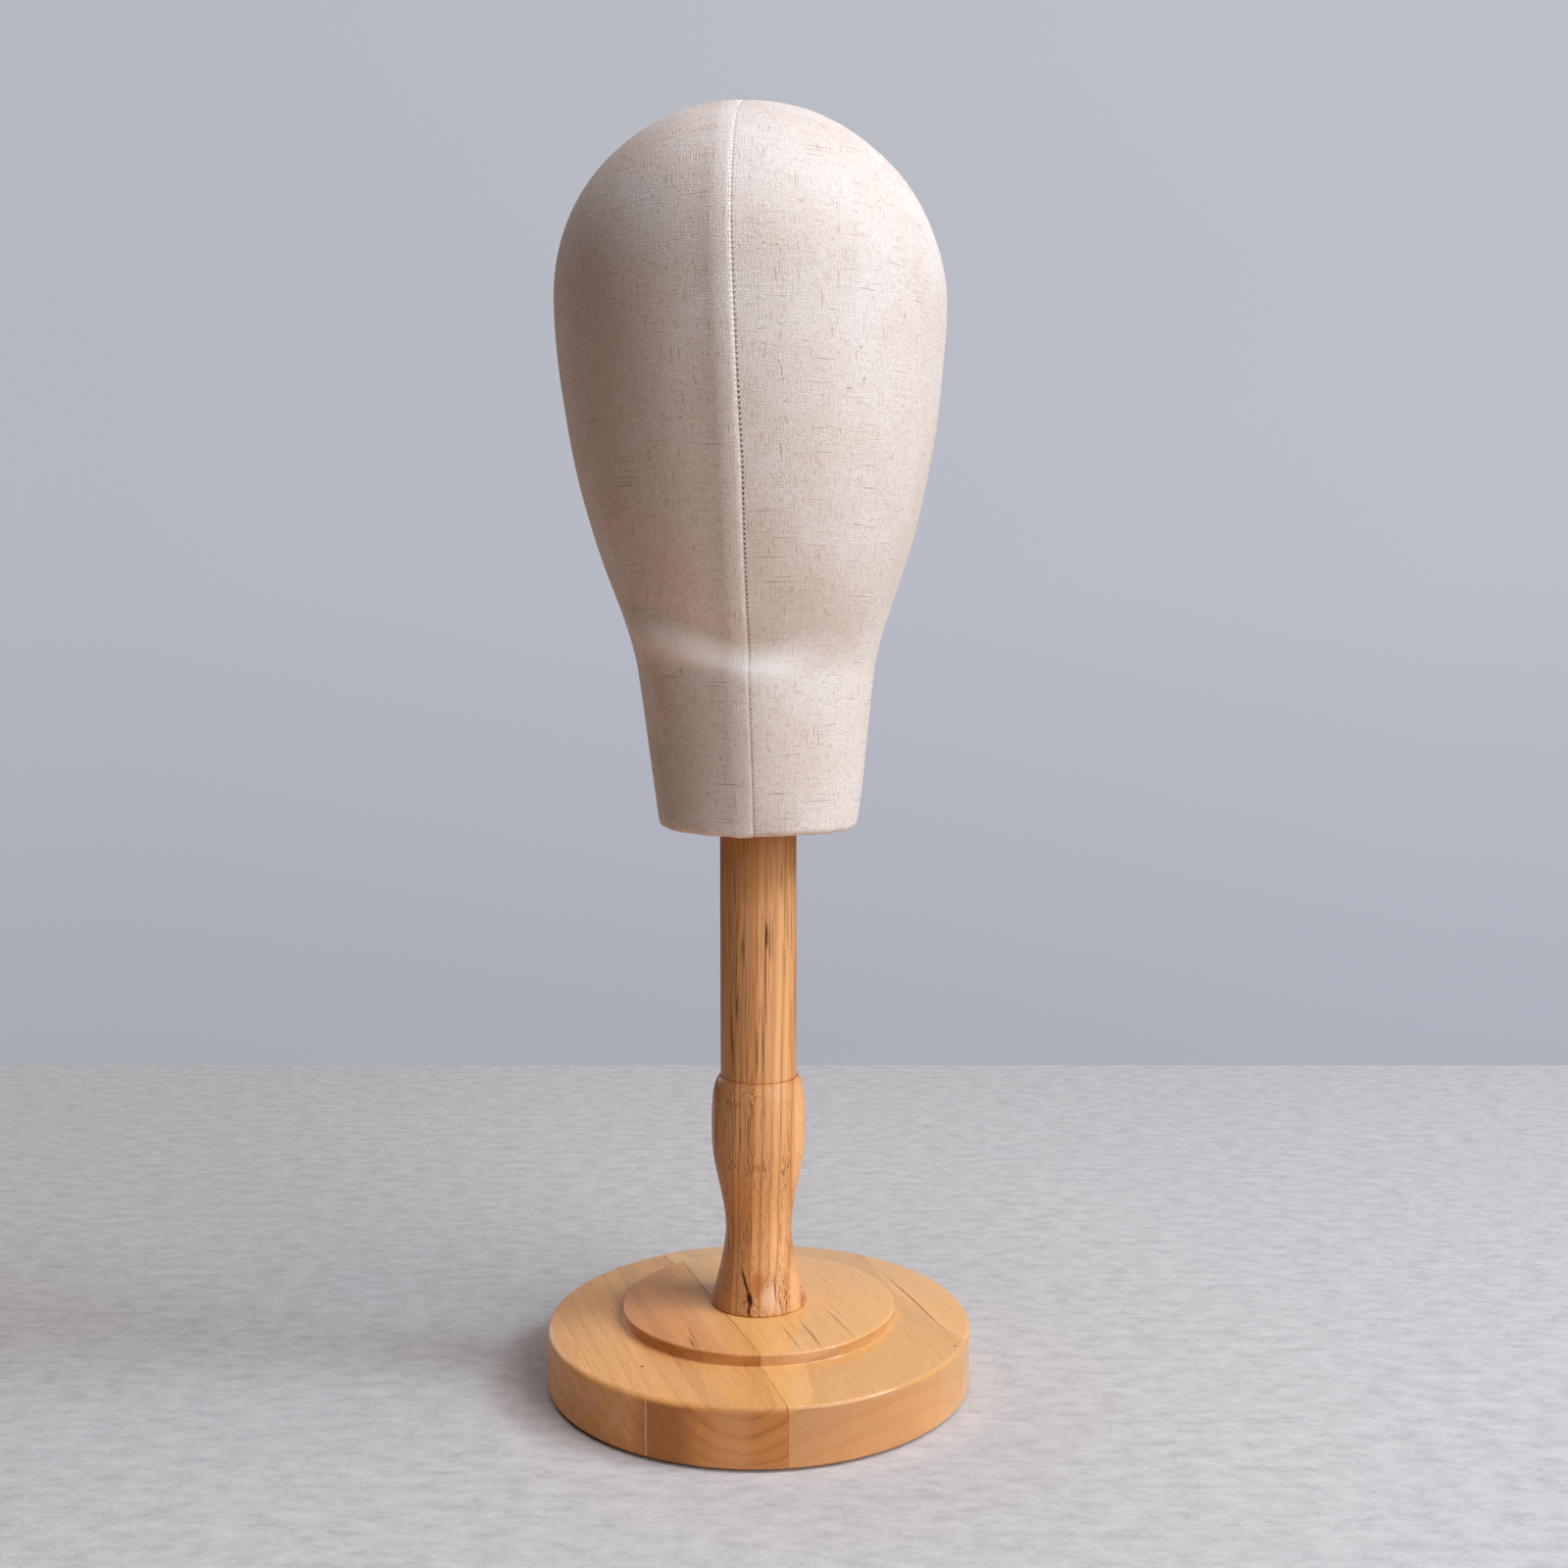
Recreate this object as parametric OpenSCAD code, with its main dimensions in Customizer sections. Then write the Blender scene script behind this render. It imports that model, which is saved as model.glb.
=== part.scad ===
// Wig stand: a plain linen-covered head block that turns on, and lifts off, a turned wooden post
// standing on a round base glued up from boards. Millimetres, +Z up. The origin is the centre of
// the face that the stand rests on, and the face side of the head looks along -Y.

/* [Base] */
// Diameter of the turned base
base_d = 180; // [150:1:240]
// Thickness of the wood at the rim
base_h = 27; // [22:0.5:40]
// Rounding of the upper rim
rim_round = 4; // [1:0.5:8]
// Chamfer of the lower rim
rim_chamfer = 1; // [0.5:0.5:3]
// Diameter of the raised step under the post
step_d = 116; // [80:1:130]
// Height of the raised step
step_h = 5; // [2:0.5:10]
// Rounding of the step's upper edge
step_round = 1; // [0.5:0.25:2]
// Width of the boards that the blank is glued from
board_w = 86; // [60:0.5:95]
// Distance from the post's axis to the glue line left of it
glue_offset = 18; // [14:0.5:24]
// Angle between the glue lines and the front
board_turn = 22.5; // [0:0.5:90]
// Thickness of the felt under the base
felt_t = 1; // [0.5:0.25:3]
// Width of the bare wood left round the felt
felt_inset = 3; // [1:0.5:10]

/* [Post] */
// Diameter of the straight shaft
shaft_d = 32; // [28:0.5:36]
// Diameter of the foot
foot_d = 41; // [36:0.5:60]
// Rounding of the foot's lower edge
foot_round = 0.8; // [0.4:0.1:2]
// Diameter of the waist
waist_d = 28; // [24:0.5:32]
// Diameter of the bulge
bulge_d = 39.8; // [38:0.1:50]
// Height of the waist above the foot
waist_up = 32; // [24:0.5:40]
// How sharply the foot flares out of the waist
flare_power = 1.5; // [1.2:0.1:3]
// Height above the foot where the bulge is full
bulge_low = 73; // [60:0.5:78]
// Height above the foot where the bulge starts to round over
bulge_high = 81; // [79:0.5:90]
// Height above the foot where the shoulder meets the shaft
shoulder_up = 98.5; // [92:0.5:120]
// Length of the post that shows under the head
post_shown_len = 204; // [140:1:320]
// Length of the post that plugs into the head
post_plug_len = 90; // [60:1:120]
// Chamfer at the top of the post
tip_chamfer = 1.5; // [0.5:0.5:3]

/* [Bolt] */
// Diameter of the bolt that holds the post
bolt_d = 8; // [6:1:10]
// Diameter of its round head
bolt_head_d = 14; // [12:0.5:18]
// Height of its round head
bolt_head_h = 4.4; // [3:0.2:6]
// Width across the flats of its hexagon socket
hex_key = 5; // [3:1:6]
// Depth of its hexagon socket
hex_depth = 2.6; // [1.5:0.1:3]
// Length of the bolt inside the post
bolt_grip = 18; // [12:1:24]
// Diameter of the washer
washer_d = 20; // [18.5:0.5:24]
// Thickness of the washer
washer_t = 1.6; // [1:0.2:3]
// Depth of the recess for the head and the washer
recess_depth = 9; // [8:0.5:12]
// Room round the washer in the recess
recess_room = 1; // [0.5:0.25:1.5]
// Diameter of the threaded insert in the post
insert_d = 13; // [12.5:0.5:18]
// Length of the threaded insert
insert_len = 22; // [16:1:30]
// Radial clearance round the bolt
bolt_fit = 0.2; // [0.1:0.05:0.5]

/* [Head] */
// Breadth of the head over the temples
head_breadth = 159; // [130:1:180]
// Reach of the face side in front of the post's axis
face_reach = 100; // [85:1:115]
// Reach of the back of the head behind the post's axis
nape_reach = 92; // [80:1:110]
// Height of the widest level above the neck's lower edge
brow_up = 213; // [195:1:240]
// Height of the crown above the widest level
dome_h = 77.5; // [60:0.5:95]
// Depth of the form under the widest level at the chin
chin_drop = 160; // [140:1:180]
// Depth of the form under the widest level at the cheeks
cheek_drop = 181; // [150:1:190]
// Depth of the form under the widest level at the nape
nape_drop = 125; // [100:1:150]
// How long the chin stays full before it turns in
chin_power = 2.2; // [1.5:0.1:3]
// How long the cheeks stay full before they turn in
cheek_power = 1.7; // [1.4:0.1:3]
// How long the back of the head stays full before it turns in
nape_power = 2; // [1.5:0.1:3]
// How far the head leans to its right at the widest level
head_lean = 2.5; // [0:0.1:4]

/* [Neck] */
// Diameter of the neck at its lower edge
neck_d = 82; // [78:0.5:96]
// Diameter of the neck under the jaw
throat_d = 104; // [96:0.5:112]
// Length over which the neck widens
neck_len = 92; // [70:1:110]
// Width of the soft crease under the chin
throat_blend = 6; // [3:0.5:12]
// Rounding of the neck's lower edge
neck_round = 3.5; // [2:0.5:6]
// Thickness of the plate in the neck
plate_t = 12; // [9:0.5:18]
// Number of screws in the plate
screw_count = 3; // [2:1:4]
// Diameter of the plate's screws
screw_d = 3.5; // [3:0.5:4.5]
// Length of the plate's screws
screw_len = 40; // [25:1:60]

/* [Cover] */
// Thickness of the linen
linen_t = 1; // [0.6:0.1:1.6]
// Gap between the linen and what it covers
cover_gap = 0.4; // [0.25:0.05:0.8]
// Width of the linen turned under the neck
hem_w = 11; // [9:0.5:14]
// Diameter of the sewing thread in the seam
thread_d = 0.9; // [0.5:0.1:1.2]
// Gap on each side of the thread
thread_gap = 0.1; // [0.05:0.05:0.3]
// Number of staples in the hem
staple_count = 12; // [6:2:20]
// Length of a staple's back
staple_w = 10; // [6:0.5:12]
// Length of a staple's legs
staple_leg = 7; // [4:0.5:8]
// Thickness of the staple wire
staple_wire = 0.7; // [0.5:0.1:1]

/* [Socket] */
// Wall of the tube that the post plugs into
socket_wall = 3; // [2:0.25:3.5]
// Thickness of the tube's closed end
socket_cap = 4; // [3:0.5:8]
// Radial clearance between the post and the tube, and the tube and the head
turn_fit = 0.1; // [0.05:0.01:0.3]
// Gap at the post's tip and over the tube's closed end
seat_gap = 0.1; // [0.05:0.05:0.3]

/* [Hidden] */
$fn = 96;

honey_wood = "#c89a63";
pink_wood = "#c08d63";
post_wood = "#bd8550";
linen_cloth = "#cbb8a2";
overcut = 1;
fixed_fit = 0.1;

base_r = base_d / 2;
step_r = step_d / 2;
rim_z = felt_t + base_h;
foot_z = rim_z + step_h;
recess_r = washer_d / 2 + recess_room;
recess_z = felt_t + recess_depth;
bolt_hole_r = bolt_d / 2 + bolt_fit;
bolt_seat_z = recess_z - washer_t;
bolt_tip_z = foot_z + bolt_grip;

shaft_r = shaft_d / 2;
neck_z = foot_z + post_shown_len;
tip_z = neck_z + post_plug_len;

plate_z = neck_z + linen_t;
plate_top = plate_z + plate_t;
brow_z = neck_z + brow_up;
crown_z = brow_z + dome_h;
core_inset = linen_t + cover_gap;
hem_r = neck_d / 2 - hem_w;
edge_z = neck_z + neck_round;

socket_in_r = shaft_r + turn_fit;
socket_out_r = socket_in_r + socket_wall;
socket_in_top = tip_z + seat_gap;
socket_top = socket_in_top + socket_cap;
bore_r = socket_out_r + turn_fit;
bore_top = socket_top + seat_gap;

screw_head_d = 2 * screw_d;
screw_ring_r = (bore_r + hem_r) / 2;
staple_ring_r = hem_r + hem_w / 2;
seam_half = thread_d / 2 + thread_gap;
thread_inset = linen_t - seam_half;

function arc(centre, r, from, to, steps) =
    [for (i = [0:steps]) let (a = from + (to - from) * i / steps) centre + r * [cos(a), sin(a)]];

function smooth(t) = t * t * (3 - 2 * t);

// Base: one turned blank, cut at the glue lines into its boards
base_outline = concat(
    [[0, felt_t], [base_r - rim_chamfer, felt_t], [base_r, felt_t + rim_chamfer]],
    arc([base_r - rim_round, rim_z - rim_round], rim_round, 0, 90, 8),
    [[step_r, rim_z]],
    arc([step_r - step_round, foot_z - step_round], step_round, 0, 90, 4),
    [[0, foot_z]]);

module base_board(from, to) {
    intersection() {
        rotate_extrude() polygon(base_outline);
        rotate([0, 0, board_turn])
            translate([from, -base_d, 0])
                cube([to - from, 2 * base_d, foot_z + overcut]);
    }
}

module base_board_left() {
    color(pink_wood) base_board(-base_d, -glue_offset);
}

module base_board_middle() {
    color(honey_wood)
        difference() {
            base_board(-glue_offset, board_w - glue_offset);
            cylinder(r = bolt_hole_r, h = foot_z + overcut);
            cylinder(r = recess_r, h = recess_z);
        }
}

module base_board_right() {
    color(honey_wood) base_board(board_w - glue_offset, base_d);
}

// The felt is glued on last and hides the bolt's recess
module base_felt() {
    color("#3a3632") cylinder(r = base_r - felt_inset, h = felt_t);
}

// Bolt, washer and insert that draw the post down on the step
module base_bolt() {
    dome_r = (pow(bolt_head_d / 2, 2) + pow(bolt_head_h, 2)) / (2 * bolt_head_h);
    head_outline = concat(
        [[0, bolt_seat_z - bolt_head_h]],
        [for (i = [1:8])
            let (r = bolt_head_d / 2 * i / 8)
            [r, bolt_seat_z - bolt_head_h + dome_r - sqrt(dome_r * dome_r - r * r)]],
        [[bolt_d / 2, bolt_seat_z], [bolt_d / 2, bolt_tip_z], [0, bolt_tip_z]]);
    color("#9a9a98")
        difference() {
            rotate_extrude() polygon(head_outline);
            translate([0, 0, bolt_seat_z - bolt_head_h - overcut])
                cylinder(d = hex_key / cos(30), h = hex_depth + overcut, $fn = 6);
        }
}

module base_washer() {
    color("#a6a6a4")
        translate([0, 0, bolt_seat_z])
            difference() {
                cylinder(d = washer_d, h = washer_t);
                translate([0, 0, -overcut]) cylinder(r = bolt_hole_r, h = washer_t + 2 * overcut);
            }
}

module post_insert() {
    color("#b08d57")
        translate([0, 0, foot_z])
            difference() {
                cylinder(d = insert_d, h = insert_len);
                translate([0, 0, -overcut]) cylinder(r = bolt_hole_r, h = insert_len + 2 * overcut);
            }
}

// Post: flared foot, waist, bulge with a rounded shoulder, straight shaft
profile_steps = 12;
post_outline = concat(
    [[0, foot_z]],
    arc([foot_d / 2 - foot_round, foot_z + foot_round], foot_round, -90, 0, 3),
    [for (i = [1:profile_steps])
        let (t = i / profile_steps)
        [waist_d / 2 + (foot_d - waist_d) / 2 * pow(1 - t, flare_power),
         foot_z + foot_round + (waist_up - foot_round) * t]],
    [for (i = [1:profile_steps])
        let (t = i / profile_steps)
        [waist_d / 2 + (bulge_d - waist_d) / 2 * smooth(t), foot_z + waist_up + (bulge_low - waist_up) * t]],
    [for (i = [0:profile_steps])
        let (a = 90 * i / profile_steps)
        [shaft_r + (bulge_d / 2 - shaft_r) * cos(a), foot_z + bulge_high + (shoulder_up - bulge_high) * sin(a)]],
    [[shaft_r, tip_z - tip_chamfer], [shaft_r - tip_chamfer, tip_z], [0, tip_z]]);

module post() {
    color(post_wood)
        difference() {
            rotate_extrude() polygon(post_outline);
            translate([0, 0, foot_z - overcut])
                cylinder(r = insert_d / 2 + fixed_fit, h = insert_len + overcut);
            translate([0, 0, foot_z]) cylinder(r = bolt_hole_r, h = max(insert_len, bolt_grip) + 2 * overcut);
        }
}

// Socket: the closed tube that carries the head on the post's tip
module post_socket() {
    color("#e4e0d6")
        difference() {
            translate([0, 0, plate_z]) cylinder(r = socket_out_r, h = socket_top - plate_z);
            translate([0, 0, plate_z - overcut]) cylinder(r = socket_in_r, h = socket_in_top - plate_z + overcut);
        }
}

// Head form. Angle 0 is the middle of the face, 90 the temple on +X, 180 the back.
// Under its widest level the form is an egg, whose depth and fullness change round the head,
// and the egg blends into the neck.
function round_the_head(front, side, back, a) =
    side + ((cos(a) > 0 ? front : back) - side) * pow(cos(a), 2);

function reach(a) =
    1 / norm([2 * sin(a) / head_breadth, cos(a) / (cos(a) > 0 ? face_reach : nape_reach)]);

function dome_r(a, z) = reach(a) * sqrt(max(0, 1 - pow((z - brow_z) / dome_h, 2)));

function egg_r(a, z) =
    let (drop = round_the_head(chin_drop, cheek_drop, nape_drop, a),
         power = round_the_head(chin_power, cheek_power, nape_power, a))
    reach(a) * sqrt(max(0, 1 - pow((brow_z - z) / drop, power)));

function neck_r(z) = neck_d / 2 + (throat_d - neck_d) / 2 * min(1, (z - neck_z) / neck_len);

function crease(p, q) = max(p, q) + throat_blend / 4 * pow(max(0, 1 - abs(p - q) / throat_blend), 2);

function head_r(a, z) = z >= brow_z ? dome_r(a, z) : crease(egg_r(a, z), neck_r(z));

function lean(z) = -head_lean * max(0, z - plate_top) / (brow_z - plate_top);

// Levels of the rings, from just under the crown down to the plate and on to the neck's edge
dome_rings = 9;
side_rings = 17;
edge_rings = 3;
core_levels = concat(
    [for (i = [1:dome_rings]) brow_z + dome_h * cos(90 * i / dome_rings)],
    [for (i = [1:side_rings]) brow_z - (brow_z - plate_top) * i / side_rings]);
linen_levels = concat(core_levels, [edge_z]);

// A point of the form's outline at angle a, moved in by inset along its normal
slope_step = 0.5;
function inset_point(a, z, inset) =
    let (rise = (head_r(a, z + slope_step) - head_r(a, z - slope_step)) / (2 * slope_step),
         out = [1, -rise] / norm([1, rise]))
    [head_r(a, z), z] - inset * out;

function core_column(a) = [for (z = core_levels) inset_point(a, z, core_inset)];

// The linen goes round the neck's lower edge and ends in the hem under the plate
function linen_column(a, inset) = concat(
    [for (z = linen_levels) inset_point(a, z, inset)],
    arc([neck_r(edge_z) - neck_round, edge_z], neck_round - inset, -90 / edge_rings, -90, edge_rings - 1),
    [[hem_r, neck_z + inset]]);

function placed(a, p) = [p.x * sin(a) + lean(p.y), -p.x * cos(a), p.y];

function quad(a, b, c, d) = [[a, b, c], [a, c, d]];

core_columns = 48;

module head_core() {
    rings = len(core_levels);
    points = concat(
        [[lean(crown_z), 0, crown_z - core_inset]],
        [for (c = [0:core_columns - 1])
            let (a = 360 * c / core_columns)
            for (p = core_column(a)) placed(a, p)]);
    function at(c, r) = 1 + (c % core_columns) * rings + r;
    faces = concat(
        [for (c = [0:core_columns - 1]) [0, at(c + 1, 0), at(c, 0)]],
        [for (c = [0:core_columns - 1])
            for (r = [0:rings - 2])
                each quad(at(c, r), at(c + 1, r), at(c + 1, r + 1), at(c, r + 1))],
        [[for (c = [0:core_columns - 1]) at(c, rings - 1)]]);
    color("#d8c9a3")
        difference() {
            polyhedron(points, faces);
            cylinder(r = bore_r, h = bore_top);
            each_screw() cylinder(d = screw_d + 2 * fixed_fit, h = screw_len + overcut);
        }
}

// The plate closes the neck, keeps the tube upright and holds the hem
module each_screw() {
    for (i = [0:screw_count - 1])
        rotate([0, 0, 360 * (i + 0.5) / screw_count])
            translate([screw_ring_r, 0, plate_z])
                children();
}

module screw_shape(grow) {
    rotate_extrude()
        polygon([[0, 0], [screw_head_d / 2 + grow, 0], [screw_d / 2 + grow, screw_d / 2],
                 [screw_d / 2 + grow, screw_len - screw_d], [0, screw_len]]);
}

module neck_plate() {
    edge_r = neck_r(edge_z) - core_inset - neck_round;
    plate_outline = concat(
        [[bore_r, plate_z]],
        arc([edge_r, plate_z + neck_round], neck_round, -90, 0, 4),
        [[neck_r(plate_top) - core_inset, plate_top], [bore_r, plate_top]]);
    color("#d9bd92")
        difference() {
            rotate_extrude() polygon(plate_outline);
            each_screw() screw_shape(fixed_fit);
        }
}

module neck_screws() {
    color("#b9b7ae") each_screw() screw_shape(0);
}

// Linen: two panels that meet at the seam over the middle of the head
panel_columns = 24;

module linen_panel(side) {
    rings = len(linen_column(0, 0));
    layer = 1 + (panel_columns + 1) * rings;
    points = [for (inset = [0, linen_t]) each concat(
        [[side * seam_half + lean(crown_z), 0, crown_z - inset]],
        [for (c = [0:panel_columns])
            let (a = 180 * c / panel_columns)
            for (p = linen_column(a, inset))
                [side * max(seam_half, p.x * sin(a)) + lean(p.y), -p.x * cos(a), p.y]])];
    function out(c, r) = 1 + c * rings + r;
    function inn(c, r) = layer + out(c, r);
    last = rings - 1;
    end = panel_columns;
    faces = concat(
        [for (c = [0:end - 1]) each [[0, out(c + 1, 0), out(c, 0)], [layer, inn(c, 0), inn(c + 1, 0)]]],
        [for (c = [0:end - 1])
            for (r = [0:last - 1])
                each concat(
                    quad(out(c, r), out(c + 1, r), out(c + 1, r + 1), out(c, r + 1)),
                    quad(inn(c, r), inn(c, r + 1), inn(c + 1, r + 1), inn(c + 1, r)))],
        [for (c = [0:end - 1])
            each quad(out(c, last), out(c + 1, last), inn(c + 1, last), inn(c, last))],
        [for (r = [0:last - 1])
            each concat(
                quad(out(0, r), out(0, r + 1), inn(0, r + 1), inn(0, r)),
                quad(out(end, r + 1), out(end, r), inn(end, r), inn(end, r + 1)))],
        quad(0, out(0, 0), inn(0, 0), layer),
        quad(out(end, 0), 0, layer, inn(end, 0)));
    color(linen_cloth)
        polyhedron(points, side > 0 ? faces : [for (f = faces) [f[2], f[1], f[0]]]);
}

module linen_left() {
    linen_panel(-1);
}

module linen_right() {
    linen_panel(1);
}

// Sewing thread: one tube from the front hem over the crown to the back hem
thread_sides = 6;

module seam_thread() {
    front = [for (p = linen_column(0, thread_inset)) placed(0, p)];
    back = [for (p = linen_column(180, thread_inset)) placed(180, p)];
    last = len(front) - 1;
    path = concat(
        [for (i = [0:last]) front[last - i]],
        [[lean(crown_z), 0, crown_z - thread_inset]],
        back);
    count = len(path);
    points = [for (i = [0:count - 1])
        let (along = path[min(i + 1, count - 1)] - path[max(i - 1, 0)],
             up = [0, along.z, -along.y] / norm([along.y, along.z]))
        for (s = [0:thread_sides - 1])
            let (a = 360 * s / thread_sides)
            path[i] + thread_d / 2 * (cos(a) * [1, 0, 0] + sin(a) * up)];
    function at(i, s) = i * thread_sides + s % thread_sides;
    faces = concat(
        [[for (s = [0:thread_sides - 1]) at(0, s)]],
        [for (i = [0:count - 2])
            for (s = [0:thread_sides - 1])
                each quad(at(i, s), at(i + 1, s), at(i + 1, s + 1), at(i, s + 1))],
        [[for (s = [0:thread_sides - 1]) at(count - 1, thread_sides - 1 - s)]]);
    color("#d9cbb8") polyhedron(points, faces);
}

module hem_staples() {
    color("#b4b4b0")
        for (i = [0:staple_count - 1])
            rotate([0, 0, 360 * (i + 0.5) / staple_count])
                translate([staple_ring_r - staple_wire / 2, -staple_w / 2, neck_z - staple_wire]) {
                    cube([staple_wire, staple_w, staple_wire]);
                    cube([staple_wire, staple_wire, staple_leg]);
                    translate([0, staple_w - staple_wire, 0]) cube([staple_wire, staple_wire, staple_leg]);
                }
}

base_board_left();
base_board_middle();
base_board_right();
base_felt();
base_bolt();
base_washer();
post_insert();
post();
post_socket();
head_core();
neck_plate();
neck_screws();
linen_left();
linen_right();
seam_thread();
hem_staples();
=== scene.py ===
"""Looks of a wig stand: a linen-covered head block on a turned post and a round lacquered base.

Lengths are in millimetres, written as a number times MM, and the frame is that of the CAD part:
+Z up, the origin under the base, the face side of the head looking along -Y.
"""
import math
from typing import NamedTuple

import bmesh
import bpy
import numpy as np
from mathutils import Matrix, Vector, noise


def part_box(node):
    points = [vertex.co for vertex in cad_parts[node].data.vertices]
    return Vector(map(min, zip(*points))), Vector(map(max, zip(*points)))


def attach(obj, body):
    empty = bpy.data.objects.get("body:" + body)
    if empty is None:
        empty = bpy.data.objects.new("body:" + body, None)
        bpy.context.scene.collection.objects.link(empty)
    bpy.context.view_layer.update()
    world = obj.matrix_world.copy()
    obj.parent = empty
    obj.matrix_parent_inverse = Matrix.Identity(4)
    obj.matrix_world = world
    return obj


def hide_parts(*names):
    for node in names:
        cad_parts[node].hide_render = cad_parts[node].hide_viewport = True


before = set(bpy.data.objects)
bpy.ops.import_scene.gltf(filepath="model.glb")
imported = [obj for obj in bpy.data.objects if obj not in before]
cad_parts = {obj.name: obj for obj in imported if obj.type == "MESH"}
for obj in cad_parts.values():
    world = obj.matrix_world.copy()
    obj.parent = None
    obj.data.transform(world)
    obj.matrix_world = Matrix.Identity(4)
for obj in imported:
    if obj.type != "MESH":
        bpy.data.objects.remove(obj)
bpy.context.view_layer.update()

MM = 0.001
TO_MM = 1 / MM

# Sizes that the frame gives
linen_low, linen_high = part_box("linen_left")
right_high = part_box("linen_right")[1]
NECK_Z = linen_low.z
CROWN_Z = linen_high.z
FACE_REACH = -linen_low.y
NAPE_REACH = linen_high.y
HALF_BREADTH = (right_high.x - linen_low.x) / 2
HEAD_LEAN = -(right_high.x + linen_low.x) / 2
PLATE_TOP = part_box("neck_plate")[1].z
FELT_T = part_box("base_felt")[1].z
FOOT_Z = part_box("post")[0].z
TIP_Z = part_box("post")[1].z
RIM_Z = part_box("base_board_right")[1].z
BASE_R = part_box("base_board_right")[1].x

# Form of the head, as the CAD part has it
BROW_Z = NECK_Z + 213 * MM
CHIN_DROP, CHEEK_DROP, NAPE_DROP = 160 * MM, 181 * MM, 125 * MM
CHIN_POWER, CHEEK_POWER, NAPE_POWER = 2.2, 1.7, 2.0
NECK_R, THROAT_R, NECK_LEN = 41 * MM, 52 * MM, 92 * MM
THROAT_BLEND = 6 * MM
NECK_ROUND = 3.5 * MM
HEM_W = 11 * MM
LINEN_T = 0.9 * MM
STITCH_PITCH, STITCH_R, STITCH_SLANT = 1.9 * MM, 0.2 * MM, 0.45 * MM

# The camera that the photograph was fitted with: its place round the post and its lens
VIEW_TURN = math.radians(3)
VIEW_PITCH = math.radians(4.93)
VIEW_DISTANCE = 734.6 * MM
VIEW_SIDE = 10.8 * MM
VIEW_HEIGHT = 318.3 * MM
SENSOR_W = 36
LENS = 40.5


def linear(hex_colour):
    """An sRGB hex colour as linear RGBA."""
    parts = [int(hex_colour[i:i + 2], 16) / 255 for i in (1, 3, 5)]
    return [c / 12.92 if c <= 0.04045 else ((c + 0.055) / 1.055) ** 2.4 for c in parts] + [1]


def add(tree, kind, inputs=None, out=0, stops=None, **settings):
    """Adds one shader node with its settings, values and links, and returns an output of it."""
    made = tree.nodes.new("ShaderNode" + kind)
    for name, value in settings.items():
        setattr(made, name, value)
    for name, value in (inputs or {}).items():
        if isinstance(value, bpy.types.NodeSocket):
            tree.links.new(value, made.inputs[name])
        else:
            made.inputs[name].default_value = value
    if stops:
        ramp = made.color_ramp.elements
        while len(ramp) < len(stops):
            ramp.new(1)
        for element, (place, colour) in zip(ramp, stops):
            element.position = place
            element.color = linear(colour)
    return made.outputs[out]


def new_material(name, **shader_values):
    """A material, its node tree and its shader, with the values that are the same all over it."""
    material = bpy.data.materials.new(name)
    material.use_nodes = True
    tree = material.node_tree
    shader = tree.nodes["Principled BSDF"]
    for socket, value in shader_values.items():
        shader.inputs[socket.replace("_", " ")].default_value = value
    return material, tree, shader


def make_piece(name, points, faces, material, body, replaced=(), smooth_angle=40):
    """A mesh piece that rides on a body and stands for CAD nodes."""
    mesh = bpy.data.meshes.new(name)
    mesh.from_pydata([tuple(p) for p in points], [], [tuple(f) for f in faces])
    piece = bpy.data.objects.new(name, mesh)
    bpy.context.collection.objects.link(piece)
    finish_piece(piece, material, body, replaced, smooth_angle)
    return piece


def finish_piece(piece, material, body, replaced, smooth_angle):
    """Gives a piece its material, its shading and its place in the frame."""
    mesh = piece.data
    mesh.materials.append(material)
    mesh.shade_smooth()
    mesh.set_sharp_from_angle(angle=math.radians(smooth_angle))
    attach(piece, body)
    if replaced:
        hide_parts(*replaced)


# Materials

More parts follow.
